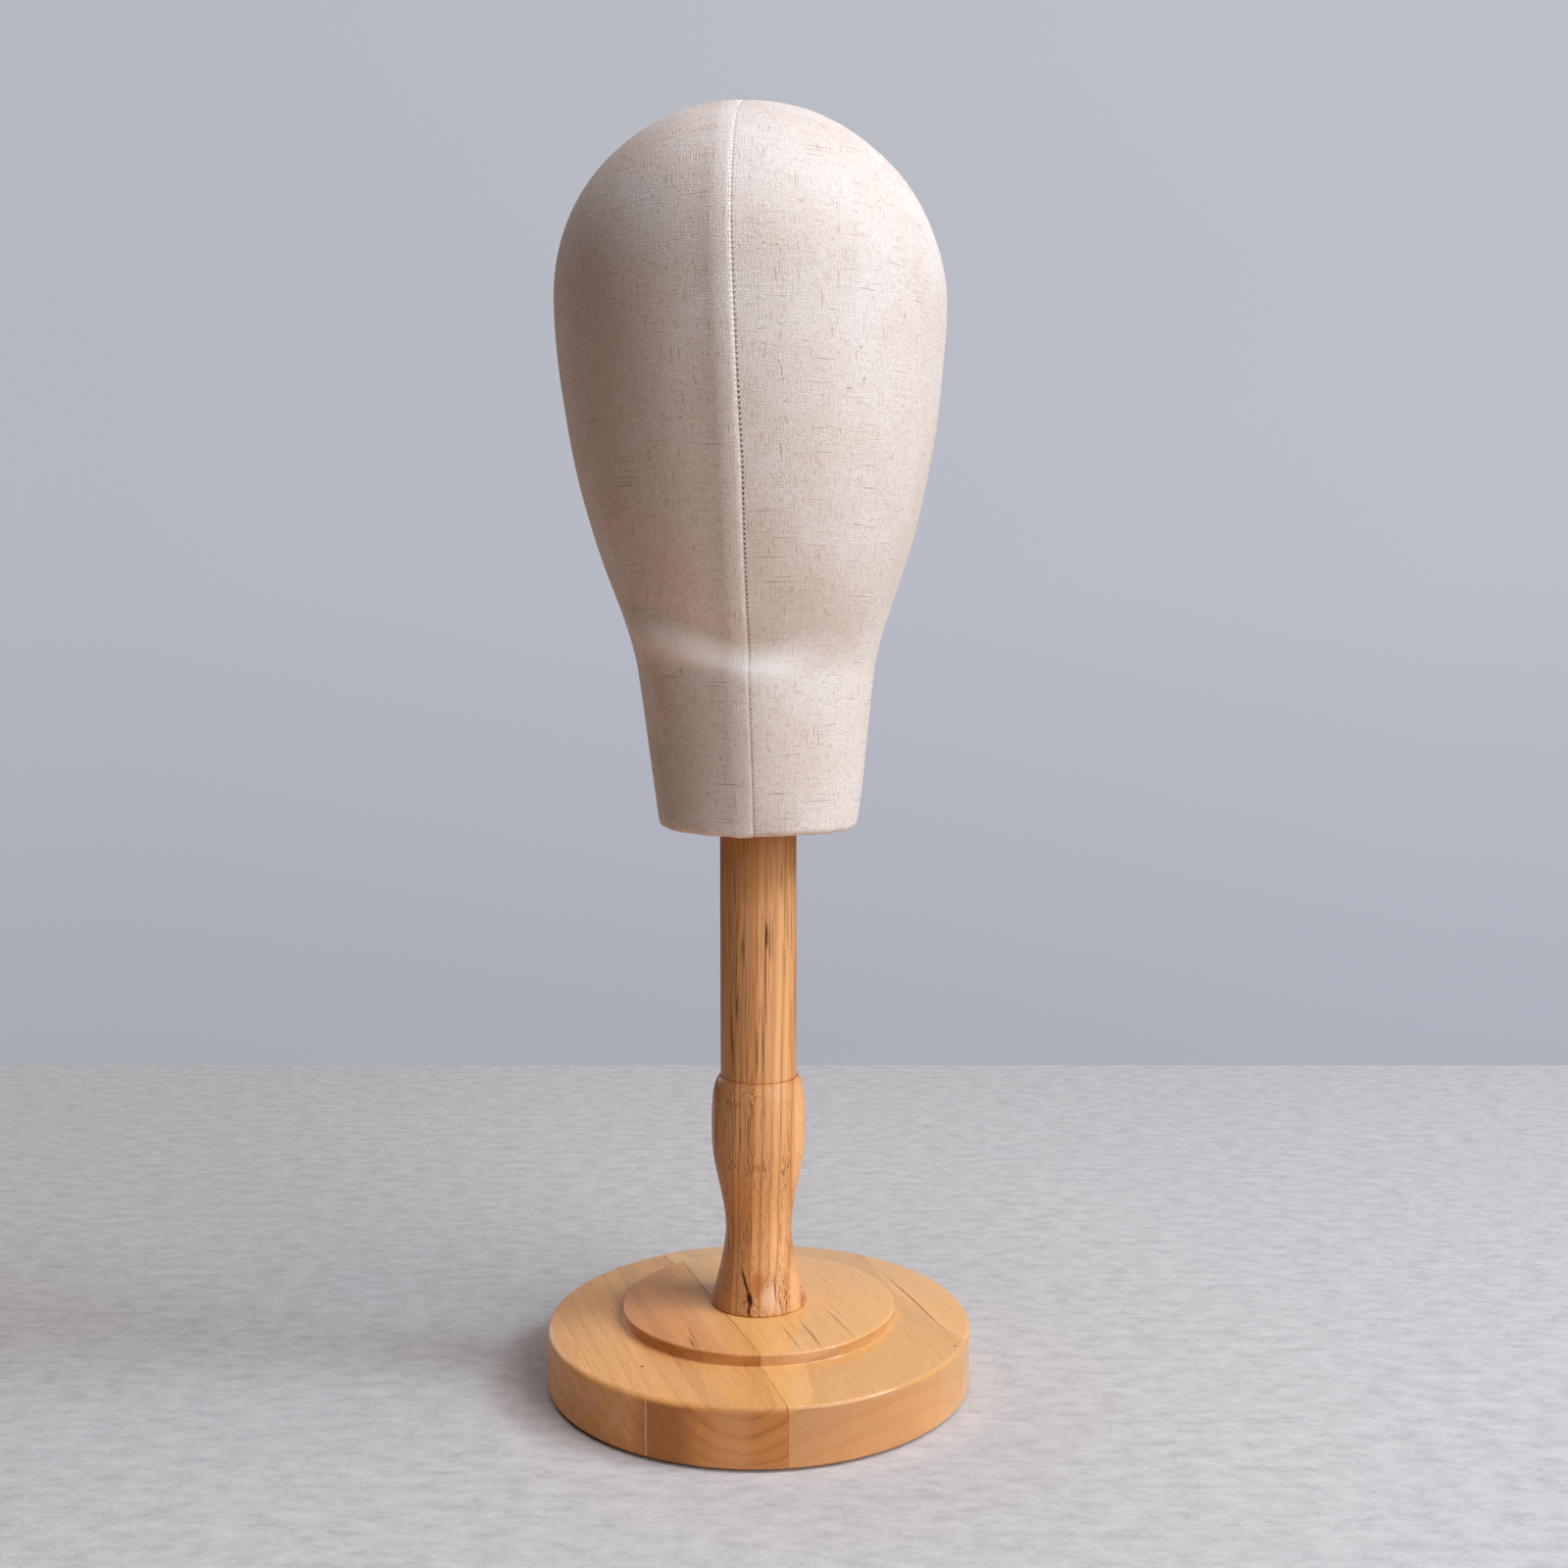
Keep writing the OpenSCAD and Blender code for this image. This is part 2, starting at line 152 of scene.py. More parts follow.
def linen_material():
    """Undyed plain-woven linen: uneven threads, thin slubs and dark flecks of stalk, quite matt.

    The attribute cloth holds each corner's place on the cloth in millimetres, across and along, and
    its distance from the seam. A second attribute holds a painted highlight over the fold under the
    chin, how hard the stitches pull on the cloth, and a painted highlight on its edge beside the seam.
    The weave is drawn a little coarser than such cloth has it, so that its threads still show.
    """
    warp_pitch, weft_pitch = 1.0, 1.06
    thread_run = 6
    material, tree, shader = new_material(
        "linen_plain_weave", Roughness=0.92, Specular_IOR_Level=0.12,
        Sheen_Weight=0.08, Sheen_Roughness=0.5)
    flat = add(tree, "Attribute", attribute_name="cloth", out="Vector")
    from_seam = add(tree, "SeparateXYZ", {0: flat}, out="Z")
    run = add(tree, "SeparateXYZ", {0: flat}, out="Y")
    pull_and_highlights = add(tree, "Attribute", attribute_name="pull_and_highlights", out="Vector")
    fold_highlight = add(tree, "SeparateXYZ", {0: pull_and_highlights}, out="X")
    stitch_pull = add(tree, "SeparateXYZ", {0: pull_and_highlights}, out="Y")
    edge_highlight = add(tree, "SeparateXYZ", {0: pull_and_highlights}, out="Z")
    wander = add(tree, "TexNoise", {
        "Vector": flat, "Scale": 1 / 9, "Detail": 3, "Roughness": 0.65}, out="Color")
    wander = add(tree, "VectorMath", {0: wander, 1: (0.5, 0.5, 0.5)}, operation="SUBTRACT")
    wander = add(tree, "VectorMath", {0: wander, "Scale": 4.5}, operation="SCALE")
    place = add(tree, "VectorMath", {0: flat, 1: wander}, operation="ADD")
    place = add(tree, "VectorMath", {0: place, 1: (1, 1, 0)}, operation="MULTIPLY")
    across = add(tree, "SeparateXYZ", {0: place}, out="X")
    along = add(tree, "SeparateXYZ", {0: place}, out="Y")
    warp = add(tree, "Math", {0: across, 1: math.pi / warp_pitch}, operation="MULTIPLY")
    warp = add(tree, "Math", {0: warp}, operation="COSINE")
    weft = add(tree, "Math", {0: along, 1: math.pi / weft_pitch}, operation="MULTIPLY")
    weft = add(tree, "Math", {0: weft}, operation="COSINE")
    crossing = add(tree, "Math", {0: warp, 1: weft}, operation="MULTIPLY")
    pillow = add(tree, "Math", {0: crossing}, operation="ABSOLUTE")
    warp_on_top = add(tree, "Math", {0: crossing, 1: 0}, operation="GREATER_THAN")

    warp_size = (1 / warp_pitch, 1 / thread_run, 0)
    weft_size = (1 / thread_run, 1 / weft_pitch, 0)
    warp_place = add(tree, "VectorMath", {0: place, 1: warp_size}, operation="MULTIPLY")
    warp_tone = add(tree, "TexNoise", {"Vector": warp_place, "Scale": 1, "Detail": 3, "Roughness": 0.6})
    weft_place = add(tree, "VectorMath", {0: place, 1: weft_size}, operation="MULTIPLY")
    weft_tone = add(tree, "TexNoise", {"Vector": weft_place, "Scale": 1, "Detail": 3, "Roughness": 0.6})
    tone = add(tree, "Mix", {0: warp_on_top, 2: weft_tone, 3: warp_tone}, data_type="FLOAT")
    grain = add(tree, "TexNoise", {"Vector": place, "Scale": 1 / 1.1, "Detail": 2})
    tone = add(tree, "Math", {0: tone, 1: grain}, operation="ADD")
    tone = add(tree, "Math", {0: tone, 1: 0.5}, operation="MULTIPLY")
    colour = add(tree, "ValToRGB", {0: tone}, stops=[
        (0.3, "#d3cbc5"), (0.42, "#e2dcd8"), (0.55, "#e9e4e1"), (0.72, "#f2eeec")])
    gap = add(tree, "MapRange", {0: pillow, 1: 0.0, 2: 0.5, 3: 0.965, 4: 1.0})
    colour = add(tree, "MixRGB", {0: 1, 1: colour, 2: gap}, blend_type="MULTIPLY")

    stroke_warp = add(tree, "VectorMath", {0: place, 1: (1 / 0.85, 1 / 3.2, 0)}, operation="MULTIPLY")
    stroke_weft = add(tree, "VectorMath", {0: place, 1: (1 / 3.8, 1 / 0.85, 0)}, operation="MULTIPLY")
    stroke_warp = add(tree, "TexNoise", {"Vector": stroke_warp, "Scale": 1, "Detail": 1})
    stroke_weft = add(tree, "TexNoise", {"Vector": stroke_weft, "Scale": 1, "Detail": 1})
    stroke = add(tree, "Math", {0: stroke_warp, 1: stroke_weft}, operation="MINIMUM")
    colour_of_stroke = add(tree, "ValToRGB", {0: stroke}, stops=[
        (0.2, "#dccfc7"), (0.3, "#f2ebe7"), (0.38, "#fbf9f8"), (0.5, "#ffffff")])
    colour = add(tree, "MixRGB", {0: 1, 1: colour, 2: colour_of_stroke}, blend_type="MULTIPLY")

    slight = add(tree, "VectorMath", {0: wander, "Scale": 0.25}, operation="SCALE")
    straighter = add(tree, "VectorMath", {0: flat, 1: slight}, operation="ADD")
    slub_warp = add(tree, "VectorMath", {0: straighter, 1: (1 / 0.75, 1 / 9, 0)}, operation="MULTIPLY")
    slub_weft = add(tree, "VectorMath", {0: straighter, 1: (1 / 20, 1 / 0.75, 0)}, operation="MULTIPLY")
    slub_warp = add(tree, "TexNoise", {"Vector": slub_warp, "Scale": 1, "Detail": 0})
    slub_weft = add(tree, "TexNoise", {"Vector": slub_weft, "Scale": 1, "Detail": 0})
    slub = add(tree, "Math", {0: slub_warp, 1: slub_weft}, operation="MAXIMUM")
    slub = add(tree, "MapRange", {0: slub, 1: 0.71, 2: 0.84, 3: 0, 4: 1})
    tint = add(tree, "Math", {0: slub, 1: 0.48}, operation="MULTIPLY")
    colour = add(tree, "MixRGB", {0: tint, 1: colour, 2: linear("#a08a78")})

    fleck_place = add(tree, "VectorMath", {0: place, 1: (1 / 5.5, 1 / 5, 0)}, operation="MULTIPLY")
    fleck = add(tree, "TexVoronoi", {"Vector": fleck_place, "Scale": 1, "Randomness": 1}, out="Distance")
    fleck = add(tree, "MapRange", {0: fleck, 1: 0.045, 2: 0.1, 3: 1, 4: 0})
    chosen = add(tree, "TexVoronoi", {"Vector": fleck_place, "Scale": 1, "Randomness": 1}, out="Color")
    chosen = add(tree, "SeparateXYZ", {0: chosen}, out="X")
    chosen = add(tree, "MapRange", {0: chosen, 1: 0.7, 2: 1, 3: 0, 4: 0.75})
    fleck = add(tree, "Math", {0: fleck, 1: chosen}, operation="MULTIPLY")
    colour = add(tree, "MixRGB", {0: fleck, 1: colour, 2: linear("#6b5546")})

    # Needle holes that the thread pulls open, one to a stitch, right of the seam, darkened as painted shade
    # inside them
    beside = add(tree, "MapRange", {0: from_seam, 1: 0.05, 2: 0.85, 3: -1, 4: 1}, clamp=False)
    beside = add(tree, "Math", {0: beside, 1: 2}, operation="POWER")
    between = add(tree, "Math", {0: run, 1: TO_MM * STITCH_PITCH, 2: 0}, operation="WRAP")
    between = add(tree, "MapRange", {0: between, 1: 0.45, 2: 1.45, 3: -1, 4: 1}, clamp=False)
    between = add(tree, "Math", {0: between, 1: 2}, operation="POWER")
    hole = add(tree, "Math", {0: beside, 1: between}, operation="ADD")
    hole = add(tree, "MapRange", {0: hole, 1: 0.5, 2: 1.2, 3: 1, 4: 0})
    pull = add(tree, "TexNoise", {"Vector": flat, "Scale": 1 / 2.5, "Detail": 1})
    pull = add(tree, "MapRange", {0: pull, 1: 0.3, 2: 0.6, 3: 0.5, 4: 1})
    hole = add(tree, "Math", {0: hole, 1: pull}, operation="MULTIPLY")
    hole = add(tree, "Math", {0: hole, 1: stitch_pull}, operation="MULTIPLY")
    colour = add(tree, "MixRGB", {0: hole, 1: colour, 2: linear("#5a4536")})

    cloud = add(tree, "TexNoise", {"Vector": place, "Scale": 1 / 38, "Detail": 3})
    cloud = add(tree, "ValToRGB", {0: cloud}, stops=[(0.35, "#f8f3ed"), (0.65, "#ffffff")])
    colour = add(tree, "MixRGB", {0: 1, 1: colour, 2: cloud}, blend_type="MULTIPLY")
    # Painted highlight: paler over the fold under the chin
    colour = add(tree, "MixRGB", {0: fold_highlight, 1: colour, 2: linear("#fdfaf8")})
    # Painted highlights: paler over the raised welt of the seam allowances under the left panel and along
    # the rolled edge beside the seam
    welt_highlight = add(tree, "MapRange", {0: from_seam, 1: -8, 2: -6, 3: 0, 4: 0.12})
    edge = add(tree, "MapRange", {0: from_seam, 1: -2.6, 2: -1.2})
    edge = add(tree, "Math", {0: edge, 1: pull}, operation="MULTIPLY")
    edge = add(tree, "Math", {0: edge, 1: edge_highlight}, operation="MULTIPLY")
    left_panel = add(tree, "Math", {0: from_seam, 1: -0.1}, operation="LESS_THAN")
    seam_highlight = add(tree, "Math", {0: welt_highlight, 1: edge}, operation="MAXIMUM")
    seam_highlight = add(tree, "Math", {0: seam_highlight, 1: left_panel}, operation="MULTIPLY")
    colour = add(tree, "MixRGB", {0: seam_highlight, 1: colour, 2: linear("#fffdfb")})
    tree.links.new(colour, shader.inputs["Base Color"])

    height = add(tree, "Math", {0: slub, 1: 1.2, 2: pillow}, operation="MULTIPLY_ADD")
    height = add(tree, "Math", {0: tone, 1: 2.5, 2: height}, operation="MULTIPLY_ADD")
    height = add(tree, "Math", {0: stroke, 1: 1, 2: height}, operation="MULTIPLY_ADD")
    height = add(tree, "Math", {0: hole, 1: -3, 2: height}, operation="MULTIPLY_ADD")
    bump = add(tree, "Bump", {"Strength": 0.55, "Distance": 0.16 * MM, "Height": height})
    tree.links.new(bump, shader.inputs["Normal"])
    return material


class Mark(NamedTuple):
    """A spot or streak in wood, at a place across and along the grain in millimetres."""
    at: tuple
    half_width: float
    half_length: float
    colour: str
    strength: float
    lean: float = 0
    rise: float = 0
    on_rim: bool = False


def wood_material(name, grain, pith, tilt, ring, colours, heart=None, rings_seen=(0.3, 0.9),
                  pores=(0.5, 9, 0.3, 0), coat=(0.35, 0.13), marks=(), upright=False):
    """Lacquered rubberwood: growth rings round a pith, fine fibres and open pores under satin lacquer.

    Along the grain the texture is drawn out, and end grain is darker and shows its rings. Places are
    in millimetres across and along the grain. grain is the turn of the grain round +Z, or the grain
    is upright. pith is the tree's centre across and above the grain, tilt its drift along the grain,
    ring the width of a year's growth, heart the centre, radius and colour of a darker zone, rings_seen
    how much the rings show along the grain and across it, pores their width, length, strength and
    number, coat the lacquer's weight and roughness.
    """
    early, middle, late, pore, blush, ends = colours
    material, tree, shader = new_material(
        name, Roughness=0.42, Specular_IOR_Level=0.14, Coat_Weight=coat[0], Coat_Roughness=coat[1])
    turning = (-math.pi / 2, 0, 0) if upright else (0, 0, -grain)
    place = add(tree, "TexCoord", out="Object")
    place = add(tree, "Mapping", {"Vector": place, "Rotation": turning, "Scale": (TO_MM,) * 3})
    drawn = add(tree, "VectorMath", {0: place, 1: (1, 0.07, 1)}, operation="MULTIPLY")
    wave = add(tree, "TexNoise", {"Vector": drawn, "Scale": 1 / 16, "Detail": 2}, out="Color")
    wave = add(tree, "VectorMath", {0: wave, 1: (0.5, 0.5, 0.5)}, operation="SUBTRACT")
    wave = add(tree, "VectorMath", {0: wave, "Scale": 5}, operation="SCALE")
    wavy = add(tree, "VectorMath", {0: place, 1: wave}, operation="ADD")
    drift = add(tree, "SeparateXYZ", {0: wavy}, out="Y")
    drift = add(tree, "Math", {0: drift, 1: tilt}, operation="MULTIPLY")
    drift = add(tree, "CombineXYZ", {0: drift})
    section = add(tree, "VectorMath", {0: wavy, 1: drift}, operation="SUBTRACT")
    section = add(tree, "VectorMath", {0: section, 1: (1, 0, 1)}, operation="MULTIPLY")
    pith = (pith[0], 0, pith[1])
    radius = add(tree, "VectorMath", {0: section, 1: pith}, operation="DISTANCE", out="Value")
    uneven_years = 2.4
    season = add(tree, "TexNoise", {
        "W": radius, "Scale": 1 / (uneven_years * ring), "Detail": 2}, noise_dimensions="1D")
    season = add(tree, "Math", {0: season, 1: uneven_years}, operation="MULTIPLY")
    rings = add(tree, "Math", {0: radius, 1: 1 / ring, 2: season}, operation="MULTIPLY_ADD")
    growth = add(tree, "Math", {0: rings}, operation="FRACT")
    year = add(tree, "Math", {0: rings}, operation="FLOOR")
    year = add(tree, "TexWhiteNoise", {"W": year}, noise_dimensions="1D")

    facing = add(tree, "NewGeometry", out="Normal")
    facing = add(tree, "Mapping", {"Vector": facing, "Rotation": turning})
    end_grain = add(tree, "SeparateXYZ", {0: facing}, out="Y")
    end_grain = add(tree, "Math", {0: end_grain, 1: 2}, operation="POWER")

    colour = add(tree, "ValToRGB", {0: growth}, stops=[
        (0.0, middle), (0.16, early), (0.5, early), (0.78, middle), (0.92, late), (1.0, middle)])
    shown = add(tree, "MapRange", {0: end_grain, 3: rings_seen[0], 4: rings_seen[1]})
    colour = add(tree, "MixRGB", {0: shown, 1: linear(early), 2: colour})
    if heart:
        centre, reach, heart_colour = heart
        centre = (centre[0], 0, centre[1])
        inside = add(tree, "VectorMath", {0: section, 1: centre}, operation="DISTANCE", out="Value")
        inside = add(tree, "MapRange", {0: inside, 1: reach - 2, 2: reach + 2, 3: 0.8, 4: 0})
        colour = add(tree, "MixRGB", {0: inside, 1: colour, 2: linear(heart_colour)})
    tone = add(tree, "MapRange", {0: year, 3: 0.88, 4: 1.05})
    colour = add(tree, "MixRGB", {0: 1, 1: colour, 2: tone}, blend_type="MULTIPLY")
    blotch = add(tree, "TexNoise", {"Vector": drawn, "Scale": 1 / 22, "Detail": 2})
    blotch = add(tree, "MapRange", {0: blotch, 1: 0.45, 2: 0.75, 3: 0, 4: 0.5})
    colour = add(tree, "MixRGB", {0: blotch, 1: colour, 2: linear(blush)})

    fibre = add(tree, "VectorMath", {0: wavy, 1: (1 / 0.8, 1 / 40, 1 / 0.8)}, operation="MULTIPLY")
    fibre = add(tree, "TexNoise", {"Vector": fibre, "Scale": 1, "Detail": 4, "Roughness": 0.6})
    shade = add(tree, "MapRange", {0: fibre, 1: 0.3, 2: 0.7, 3: 0.90, 4: 1.06})
    colour = add(tree, "MixRGB", {0: 1, 1: colour, 2: shade}, blend_type="MULTIPLY")

    width, length, strength, number = pores
    hollow = add(tree, "VectorMath", {0: wavy, 1: (1 / width, 1 / length, 1 / width)}, operation="MULTIPLY")
    hollow = add(tree, "TexNoise", {"Vector": hollow, "Scale": 1, "Detail": 1})
    hollow = add(tree, "MapRange", {0: hollow, 1: 0.6 - number, 2: 0.72 - number, 3: 0, 4: 1})
    cluster = add(tree, "TexNoise", {"Vector": drawn, "Scale": 1 / 6, "Detail": 1})
    cluster = add(tree, "MapRange", {
        0: cluster, 1: 0.4, 2: 0.62, 3: 0.1 * strength, 4: strength})
    hollow = add(tree, "Math", {0: hollow, 1: cluster}, operation="MULTIPLY")
    colour = add(tree, "MixRGB", {0: hollow, 1: colour, 2: linear(pore)})
    colour = add(tree, "MixRGB", {0: end_grain, 1: colour, 2: linear(ends)}, blend_type="MULTIPLY")

    jitter = add(tree, "TexNoise", {"Vector": place, "Scale": 1 / 2.5, "Detail": 2}, out="Color")
    jitter = add(tree, "VectorMath", {0: jitter, 1: (0.5, 0.5, 0.5)}, operation="SUBTRACT")
    jittered = add(tree, "VectorMath", {0: place, 1: jitter}, operation="ADD")
    for mark in marks:
        aside = (1 / mark.half_width, -mark.lean / mark.half_width, -mark.rise / mark.half_width)
        down = (0, 1 / mark.half_length, 0)
        spot = place if mark.on_rim else jittered
        away = add(tree, "VectorMath", {0: spot, 1: (*mark.at, 0)}, operation="SUBTRACT")
        aside = add(tree, "VectorMath", {0: away, 1: aside}, operation="DOT_PRODUCT", out="Value")
        down = add(tree, "VectorMath", {0: away, 1: down}, operation="DOT_PRODUCT", out="Value")
        away = add(tree, "CombineXYZ", {0: aside, 1: down})
        away = add(tree, "VectorMath", {0: away}, operation="LENGTH", out="Value")
        inside = add(tree, "MapRange", {
            0: away, 1: 0.3, 2: 1, 3: mark.strength, 4: 0}, interpolation_type="SMOOTHSTEP")
        if upright:
            front = add(tree, "SeparateXYZ", {0: place}, out="Z")
            front = add(tree, "Math", {0: front, 1: 0}, operation="GREATER_THAN")
            inside = add(tree, "Math", {0: inside, 1: front}, operation="MULTIPLY")
        if mark.on_rim:
            level = add(tree, "SeparateXYZ", {0: facing}, out="Z")
            rim = add(tree, "MapRange", {0: level, 1: 0.2, 2: 0.6, 3: 1, 4: 0})
            inside = add(tree, "Math", {0: inside, 1: rim}, operation="MULTIPLY")
        colour = add(tree, "MixRGB", {0: inside, 1: colour, 2: linear(mark.colour)})
    tree.links.new(colour, shader.inputs["Base Color"])

    relief = add(tree, "Math", {0: fibre, 1: hollow}, operation="SUBTRACT")
    bump = add(tree, "Bump", {"Strength": 0.22, "Distance": 0.12 * MM, "Height": relief})
    tree.links.new(bump, shader.inputs["Normal"])
    return material


def felt_material():
    """Pressed wool felt: dark, matt and slightly mottled by its fibres."""
    material, tree, shader = new_material(
        "wool_felt", Roughness=0.95, Specular_IOR_Level=0.1, Sheen_Weight=0.3)
    place = add(tree, "TexCoord", out="Object")
    fibres = add(tree, "TexNoise", {"Vector": place, "Scale": TO_MM / 0.8, "Detail": 3})
    colour = add(tree, "ValToRGB", {0: fibres}, stops=[(0.3, "#241f1c"), (0.7, "#433b35")])
    tree.links.new(colour, shader.inputs["Base Color"])
    bump = add(tree, "Bump", {"Strength": 0.6, "Distance": 0.3 * MM, "Height": fibres})
    tree.links.new(bump, shader.inputs["Normal"])
    return material


def zinc_material():
    """Zinc-plated steel: pale grey metal, dulled unevenly by handling."""
    material, tree, shader = new_material("zinc_plated_steel", Metallic=1)
    place = add(tree, "TexCoord", out="Object")
    haze = add(tree, "TexNoise", {"Vector": place, "Scale": TO_MM / 1.5, "Detail": 3})
    colour = add(tree, "ValToRGB", {0: haze}, stops=[(0.3, "#a3a5a2"), (0.7, "#c9c9c4")])
    dull = add(tree, "MapRange", {0: haze, 3: 0.28, 4: 0.48})
    tree.links.new(colour, shader.inputs["Base Color"])
    tree.links.new(dull, shader.inputs["Roughness"])
    return material


def brass_material():
    """Machined brass: warm metal with fine turning marks round its axis."""
    material, tree, shader = new_material("machined_brass", Metallic=1)
    place = add(tree, "TexCoord", out="Object")
    size = (TO_MM / 9, TO_MM / 9, TO_MM / 0.3)
    marks = add(tree, "VectorMath", {0: place, 1: size}, operation="MULTIPLY")
    marks = add(tree, "TexNoise", {"Vector": marks, "Scale": 1, "Detail": 2})
    colour = add(tree, "ValToRGB", {0: marks}, stops=[(0.3, "#b08a4a"), (0.7, "#d0ad6a")])
    dull = add(tree, "MapRange", {0: marks, 3: 0.22, 4: 0.42})
    tree.links.new(colour, shader.inputs["Base Color"])
    tree.links.new(dull, shader.inputs["Roughness"])
    return material


def socket_material():
    """Moulded polypropylene tube: off-white, satin, with faint draw marks along its length."""
    material, tree, shader = new_material("moulded_polypropylene", Specular_IOR_Level=0.45)
    place = add(tree, "TexCoord", out="Object")
    size = (TO_MM / 0.7, TO_MM / 0.7, TO_MM / 40)
    marks = add(tree, "VectorMath", {0: place, 1: size}, operation="MULTIPLY")
    marks = add(tree, "TexNoise", {"Vector": marks, "Scale": 1, "Detail": 2})
    colour = add(tree, "ValToRGB", {0: marks}, stops=[(0.3, "#d8d4ca"), (0.7, "#e8e5dc")])
    dull = add(tree, "MapRange", {0: marks, 3: 0.36, 4: 0.5})
    tree.links.new(colour, shader.inputs["Base Color"])
    tree.links.new(dull, shader.inputs["Roughness"])
    return material


def cork_material():
    """Agglomerated cork: pressed granules of several browns with dark gaps between them."""
    granule = 3.0
    material, tree, shader = new_material("agglomerated_cork", Roughness=0.9, Specular_IOR_Level=0.2)
    place = add(tree, "TexCoord", out="Object")
    cells = add(tree, "TexVoronoi", {"Vector": place, "Scale": TO_MM / granule}, out="Color")
    tone = add(tree, "SeparateXYZ", {0: cells}, out="X")
    colour = add(tree, "ValToRGB", {0: tone}, stops=[(0.0, "#8a623c"), (0.5, "#b3875a"), (1.0, "#cda87a")])
    edge = add(tree, "TexVoronoi", {"Vector": place, "Scale": TO_MM / granule}, feature="DISTANCE_TO_EDGE")
    gap = add(tree, "MapRange", {0: edge, 1: 0, 2: 0.12, 3: 0.55, 4: 1})
    colour = add(tree, "MixRGB", {0: 1, 1: colour, 2: gap}, blend_type="MULTIPLY")
    tree.links.new(colour, shader.inputs["Base Color"])
    bump = add(tree, "Bump", {"Strength": 0.5, "Distance": 0.4 * MM, "Height": edge})
    tree.links.new(bump, shader.inputs["Normal"])
    return material


def plywood_material():
    """Birch plywood: pale veneer with fine grain on its faces and dark and light plies on its edges."""
    ply = 1.5
    material, tree, shader = new_material("birch_plywood", Roughness=0.6, Specular_IOR_Level=0.3)
    place = add(tree, "TexCoord", out="Object")
    grain = add(tree, "VectorMath", {0: place, 1: (TO_MM / 0.9, TO_MM / 30, 0)}, operation="MULTIPLY")
    grain = add(tree, "TexNoise", {"Vector": grain, "Scale": 1, "Detail": 4})
    face = add(tree, "ValToRGB", {0: grain}, stops=[(0.3, "#c8a777"), (0.7, "#e3c99e")])
    layer = add(tree, "SeparateXYZ", {0: place}, out="Z")
    layer = add(tree, "Math", {0: layer, 1: TO_MM / (2 * ply)}, operation="MULTIPLY")
    layer = add(tree, "Math", {0: layer}, operation="FRACT")
    plies = add(tree, "ValToRGB", {0: layer}, stops=[
        (0.0, "#8f6a42"), (0.06, "#d9bc8d"), (0.46, "#d9bc8d"),
        (0.52, "#8f6a42"), (0.58, "#b98f5f"), (1.0, "#b08657")])
    facing = add(tree, "NewGeometry", out="Normal")
    facing = add(tree, "SeparateXYZ", {0: facing}, out="Z")
    facing = add(tree, "Math", {0: facing}, operation="ABSOLUTE")
    colour = add(tree, "MixRGB", {0: facing, 1: plies, 2: face})
    tree.links.new(colour, shader.inputs["Base Color"])
    return material


def thread_material():
    """Twisted cotton sewing thread: off-white, with the darker turns of its twist."""
    twist = 0.5
    material, tree, shader = new_material(
        "cotton_thread", Roughness=0.85, Specular_IOR_Level=0.2, Sheen_Weight=0.2)
    place = add(tree, "TexCoord", out="Object")
    turns = add(tree, "TexNoise", {"Vector": place, "Scale": TO_MM / twist, "Detail": 2})
    colour = add(tree, "ValToRGB", {0: turns}, stops=[(0.3, "#d9cbbd"), (0.65, "#f7f0e8")])
    tree.links.new(colour, shader.inputs["Base Color"])
    return material


FLOOR_BOUNCE = "#ceb4a0"


def floor_material():
    """Pale grey trowelled table top, matt, with faint strokes that run across the view.

    What it throws back on the object is warmer and weaker than what it shows.
    """
    material, tree, shader = new_material("grey_table", Roughness=0.75, Specular_IOR_Level=0.08)
    place = add(tree, "TexCoord", out="Object")
    strokes = add(tree, "VectorMath", {0: place, 1: (TO_MM / 14, TO_MM / 7, 1)}, operation="MULTIPLY")
    strokes = add(tree, "TexNoise", {"Vector": strokes, "Scale": 1, "Detail": 6, "Roughness": 0.8})
    colour = add(tree, "ValToRGB", {0: strokes}, stops=[
        (0.25, "#b2b2b4"), (0.5, "#cdcdce"), (0.75, "#dedfdf")])
    grit = add(tree, "TexNoise", {"Vector": place, "Scale": TO_MM / 1.6, "Detail": 2})
    grit = add(tree, "MapRange", {0: grit, 1: 0.3, 2: 0.7, 3: 0.965, 4: 1.03})
    colour = add(tree, "MixRGB", {0: 1, 1: colour, 2: grit}, blend_type="MULTIPLY")
    scattered = add(tree, "LightPath", out="Is Diffuse Ray")
    colour = add(tree, "MixRGB", {0: scattered, 1: colour, 2: linear(FLOOR_BOUNCE)})
    tree.links.new(colour, shader.inputs["Base Color"])
    return material


# Form of the head

def round_the_head(front, side, back, angle):
    """A value that goes from the face over the cheek to the nape."""
    toward = np.cos(angle)
    return side + np.where(toward > 0, front - side, back - side) * toward ** 2


def head_radius(angle, z):
    """Distance of the head's surface from the post's axis. Angle 0 is the middle of the face."""
    toward = np.cos(angle)
    depth = np.where(toward > 0, FACE_REACH, NAPE_REACH)
    reach = 1 / np.hypot(np.sin(angle) / HALF_BREADTH, toward / depth)
    rise = np.clip((z - BROW_Z) / (CROWN_Z - BROW_Z), 0, 1)
    drop = np.clip((BROW_Z - z) / round_the_head(CHIN_DROP, CHEEK_DROP, NAPE_DROP, angle), 0, 1)
    power = round_the_head(CHIN_POWER, CHEEK_POWER, NAPE_POWER, angle)
    dome = reach * np.sqrt(1 - rise ** 2)
    egg = reach * np.sqrt(1 - drop ** power)
    neck = NECK_R + (THROAT_R - NECK_R) * np.clip((z - NECK_Z) / NECK_LEN, 0, 1)
    blend = THROAT_BLEND / 4 * np.clip(1 - np.abs(egg - neck) / THROAT_BLEND, 0, 1) ** 2
    return np.where(z >= BROW_Z, dome, np.maximum(egg, neck) + blend)


